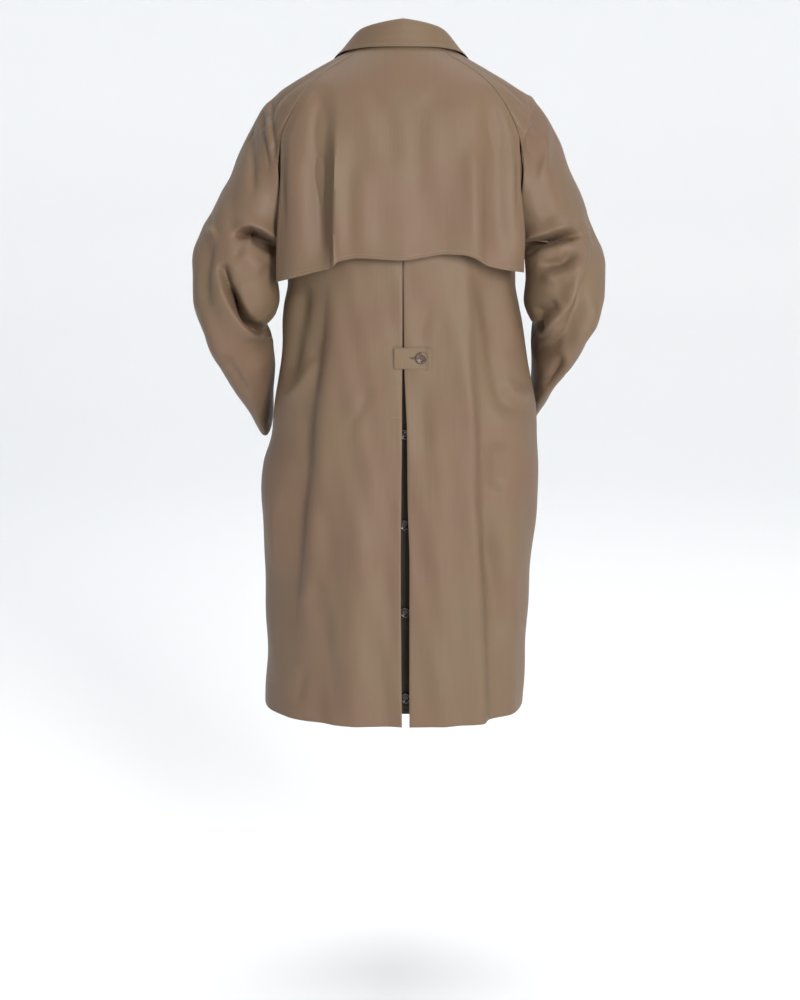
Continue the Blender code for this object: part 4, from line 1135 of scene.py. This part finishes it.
def stitch_row_nodes():
    tree = bpy.data.node_groups.new("stitch row", "GeometryNodeTree")
    tree.interface.new_socket("Geometry", in_out="INPUT", socket_type="NodeSocketGeometry")
    lengths = {"Pitch": STITCH_PITCH, "Half length": STITCH_HALF, "Thread radius": THREAD_RADIUS}
    for name, value in lengths.items():
        tree.interface.new_socket(name, in_out="INPUT", socket_type="NodeSocketFloat").default_value = value
    tree.interface.new_socket("Thread", in_out="INPUT", socket_type="NodeSocketMaterial")
    tree.interface.new_socket("Geometry", in_out="OUTPUT", socket_type="NodeSocketGeometry")
    enter = add_node(tree, "NodeGroupInput")
    line = add_node(tree, "GeometryNodeMeshToCurve")
    places = add_node(tree, "GeometryNodeCurveToPoints")
    places.mode = "LENGTH"
    ball = add_node(tree, "GeometryNodeMeshUVSphere", {"Segments": 6, "Rings": 5, "Radius": 1})
    size = add_node(tree, "ShaderNodeCombineXYZ")
    stitch = add_node(tree, "GeometryNodeTransform")
    turn = add_node(tree, "FunctionNodeAlignRotationToVector")
    turn.axis = "Z"
    copies = add_node(tree, "GeometryNodeInstanceOnPoints")
    real = add_node(tree, "GeometryNodeRealizeInstances")
    thread = add_node(tree, "GeometryNodeSetMaterial")
    leave = add_node(tree, "NodeGroupOutput")
    join(
        tree,
        (enter, "Geometry", line, "Mesh"),
        (line, "Curve", places, "Curve"),
        (enter, "Pitch", places, "Length"),
        (enter, "Thread radius", size, "X"),
        (enter, "Thread radius", size, "Y"),
        (enter, "Half length", size, "Z"),
        (ball, "Mesh", stitch, "Geometry"),
        (size, "Vector", stitch, "Scale"),
        (places, "Tangent", turn, "Vector"),
        (places, "Points", copies, "Points"),
        (stitch, "Geometry", copies, "Instance"),
        (turn, "Rotation", copies, "Rotation"),
        (copies, "Instances", real, "Geometry"),
        (real, "Geometry", thread, "Geometry"),
        (enter, "Thread", thread, "Material"),
        (thread, "Geometry", leave, "Geometry"),
    )
    return tree


STITCH_ROW = stitch_row_nodes()
TAUPE_THREAD = thread_material("taupe_thread", (0.215, 0.152, 0.102))


def stitches(name, points, out, pitch=STITCH_PITCH):
    """A row of stitches along points of the cloth, on the piece that takes the place of a node."""
    path = points + out * THREAD_LIFT
    mesh = bpy.data.meshes.new(name)
    mesh.from_pydata([tuple(p) for p in path], [(k, k + 1) for k in range(len(path) - 1)], [])
    row = placed(name, mesh)
    work = row.modifiers.new("stitches", "NODES")
    work.node_group = STITCH_ROW
    sockets = STITCH_ROW.interface.items_tree
    inputs = {item.name: item.identifier for item in sockets if item.in_out == "INPUT"}
    work[inputs["Pitch"]] = pitch
    work[inputs["Half length"]] = STITCH_HALF * pitch / STITCH_PITCH
    work[inputs["Thread radius"]] = THREAD_RADIUS
    work[inputs["Thread"]] = TAUPE_THREAD
    bpy.context.view_layer.update()
    made = bpy.data.meshes.new_from_object(row.evaluated_get(bpy.context.evaluated_depsgraph_get()))
    row.modifiers.clear()
    row.data = made
    made.shade_smooth()
    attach(row, "root")


RAGLAN_ROW = np.array([[0.017]])
RAGLAN_ROW_END = 2.35
around = np.linspace(NECK_SHARE + 0.05, RAGLAN_ROW_END, 90)[None, :]
for side, word in ((-1, "left"), (1, "right")):
    for half, places in (("back", around), ("front", 2 * math.pi - around)):
        points, out = sleeve_surface(side, places, RAGLAN_ROW)
        stitches(f"raglan_{word}_{half}_row", points[0], out[0])

HEM_ROW = 0.965
SIDE_ROW = 0.972
down_side = np.linspace(0.04, HEM_ROW, 40)
over = np.linspace(-SIDE_ROW, SIDE_ROW, 150)
row_share = np.concatenate((np.full_like(down_side, -SIDE_ROW), over, np.full_like(down_side, SIDE_ROW)))
row_free = np.concatenate((down_side, np.full_like(over, HEM_ROW), down_side[::-1]))
points, out = yoke_surface(row_share, np.full_like(row_share, YOKE_FREE), row_free)
stitches("yoke_row", points, out)

COLLAR_ROW = 0.88
angle = np.linspace(-COLLAR_END + 0.05, COLLAR_END - 0.05, 160)
share = np.full_like(angle, COLLAR_ROW)
stitches("collar_row", leaf(angle, share), leaf_out(angle, share))

TAB_MARGIN = 0.0028
TAB_PITCH = 0.0026
BOX_SIDE = -0.002
left = TAB_LEFT + TAB_MARGIN
right = TAB_LEFT + TAB_LONG - TAB_MARGIN
top = TAB_TOP + TAB_MARGIN
bottom = TAB_TOP + TAB_HIGH - TAB_MARGIN
corner = TAB_ROUNDING - TAB_MARGIN
across = np.array([BOX_SIDE, BOX_SIDE, left, left, right - corner, right, right, right - corner, BOX_SIDE])
down = np.array([bottom, top, top, bottom, bottom, bottom - corner, top + corner, top, top])
order = np.linspace(0, 8, 120)
points, out = tab_face(np.interp(order, range(9), across), np.interp(order, range(9), down))
stitches("tab_row", points, out, TAB_PITCH)

across = np.linspace(-0.045, 0.051, 60)
for number, above_hem in enumerate((0.005, 0.011), start=1):
    points, out = underlay_face(across, np.full_like(across, UNDERLAY_END - above_hem))
    stitches(f"underlay_row_{number}", points, out)

VENT_MARK = 0.574
MARK_PITCH = 0.0022
across = np.linspace(-0.018, -0.0035, 16)
down = np.full_like(across, VENT_MARK)
angle = angle_at(across, down)
stitches("vent_mark", body(angle, down), body_out(angle, down), MARK_PITCH)

# The strap's buttonhole: a slit worked all round with close overcast stitches in a blue-grey thread.
HOLE_FROM = 0.0105
HOLE_TO = 0.0195
HOLE_HALF = 0.0013
HOLE_LIFT = 0.0002
HOLE_THREAD = 0.00016
turns = np.linspace(0, 1, 161)
zigzag = np.where(np.arange(161) % 2 == 0, 1.0, 0.2)
run_out = np.where(turns < 0.5, turns * 2, 2 - turns * 2)
across = HOLE_FROM + (HOLE_TO - HOLE_FROM) * run_out
down = TAB_BUTTON[1] + HOLE_HALF * zigzag * np.where(turns < 0.5, 1, -1)
points, out = tab_face(across, down)
hole_points, hole_faces = tube(points + out * HOLE_LIFT, HOLE_THREAD, 6)
hole_colour = thread_material("buttonhole", (0.135, 0.135, 0.150))
hole = solid("buttonhole_thread", hole_points, hole_faces, hole_colour)
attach(hole, "root")


# The floor and the round wall behind it: one plain pale sweep, as in a studio.
FLOOR_Z = -1.518
FLOOR_SIDES = 96
# The sweep's rings: radius, and height above the floor.
FLOOR_RINGS = (
    (4.0, 0.0), (5.0, 0.0), (5.9, 0.12), (6.7, 0.5), (7.3, 1.1), (7.6, 2.0), (7.7, 3.5), (7.7, 6.0),
)
turns = np.linspace(0, 2 * math.pi, FLOOR_SIDES, endpoint=False)
points = [(r * math.cos(t), r * math.sin(t), FLOOR_Z + z) for r, z in FLOOR_RINGS for t in turns]
faces = [tuple(range(FLOOR_SIDES))] + bands(len(FLOOR_RINGS), FLOOR_SIDES)
sweep = bpy.data.meshes.new("floor")
sweep.from_pydata(points, [], faces)
sweep.shade_smooth()
matt = {"Base Color": (0.86, 0.87, 0.88, 1), "Roughness": 0.9}
glow = {"Emission Color": (0.93, 0.96, 1.0, 1), "Emission Strength": 0.06}
sweep.materials.append(new_material("floor", {**matt, **glow})[0])
floor = placed("floor", sweep)

# Soft light: a tall lamp behind the camera and to its right, a broad one over the floor behind the coat, and
# the pale sky of a white room.
world = bpy.data.worlds.new("room")
world.use_nodes = True
world.node_tree.nodes["Background"].inputs["Color"].default_value = (0.95, 0.97, 1.0, 1)
world.node_tree.nodes["Background"].inputs["Strength"].default_value = 0.16
bpy.context.scene.world = world


def lamp(name, at, aim, size, watts, colour=(1, 1, 1)):
    light = bpy.data.lights.new(name, "AREA")
    light.shape = "RECTANGLE"
    light.size, light.size_y = size
    light.energy = watts
    light.color = colour
    holder = placed(name, light)
    from_aim = unit(np.array(at, float) - np.array(aim, float))
    yaw = math.atan2(from_aim[0], -from_aim[1])
    pitch = math.acos(max(-1, min(1, from_aim[2])))
    holder.rotation_euler = (pitch, 0, yaw)
    holder.location = at


lamp("key", (1.7, -4.0, 0.8), (0, 0, -0.5), (1.3, 2.0), 215, (1.0, 0.985, 0.96))
lamp("top", (0.0, 1.6, 4.8), (0, 1.6, -1.0), (6.0, 5.0), 300)
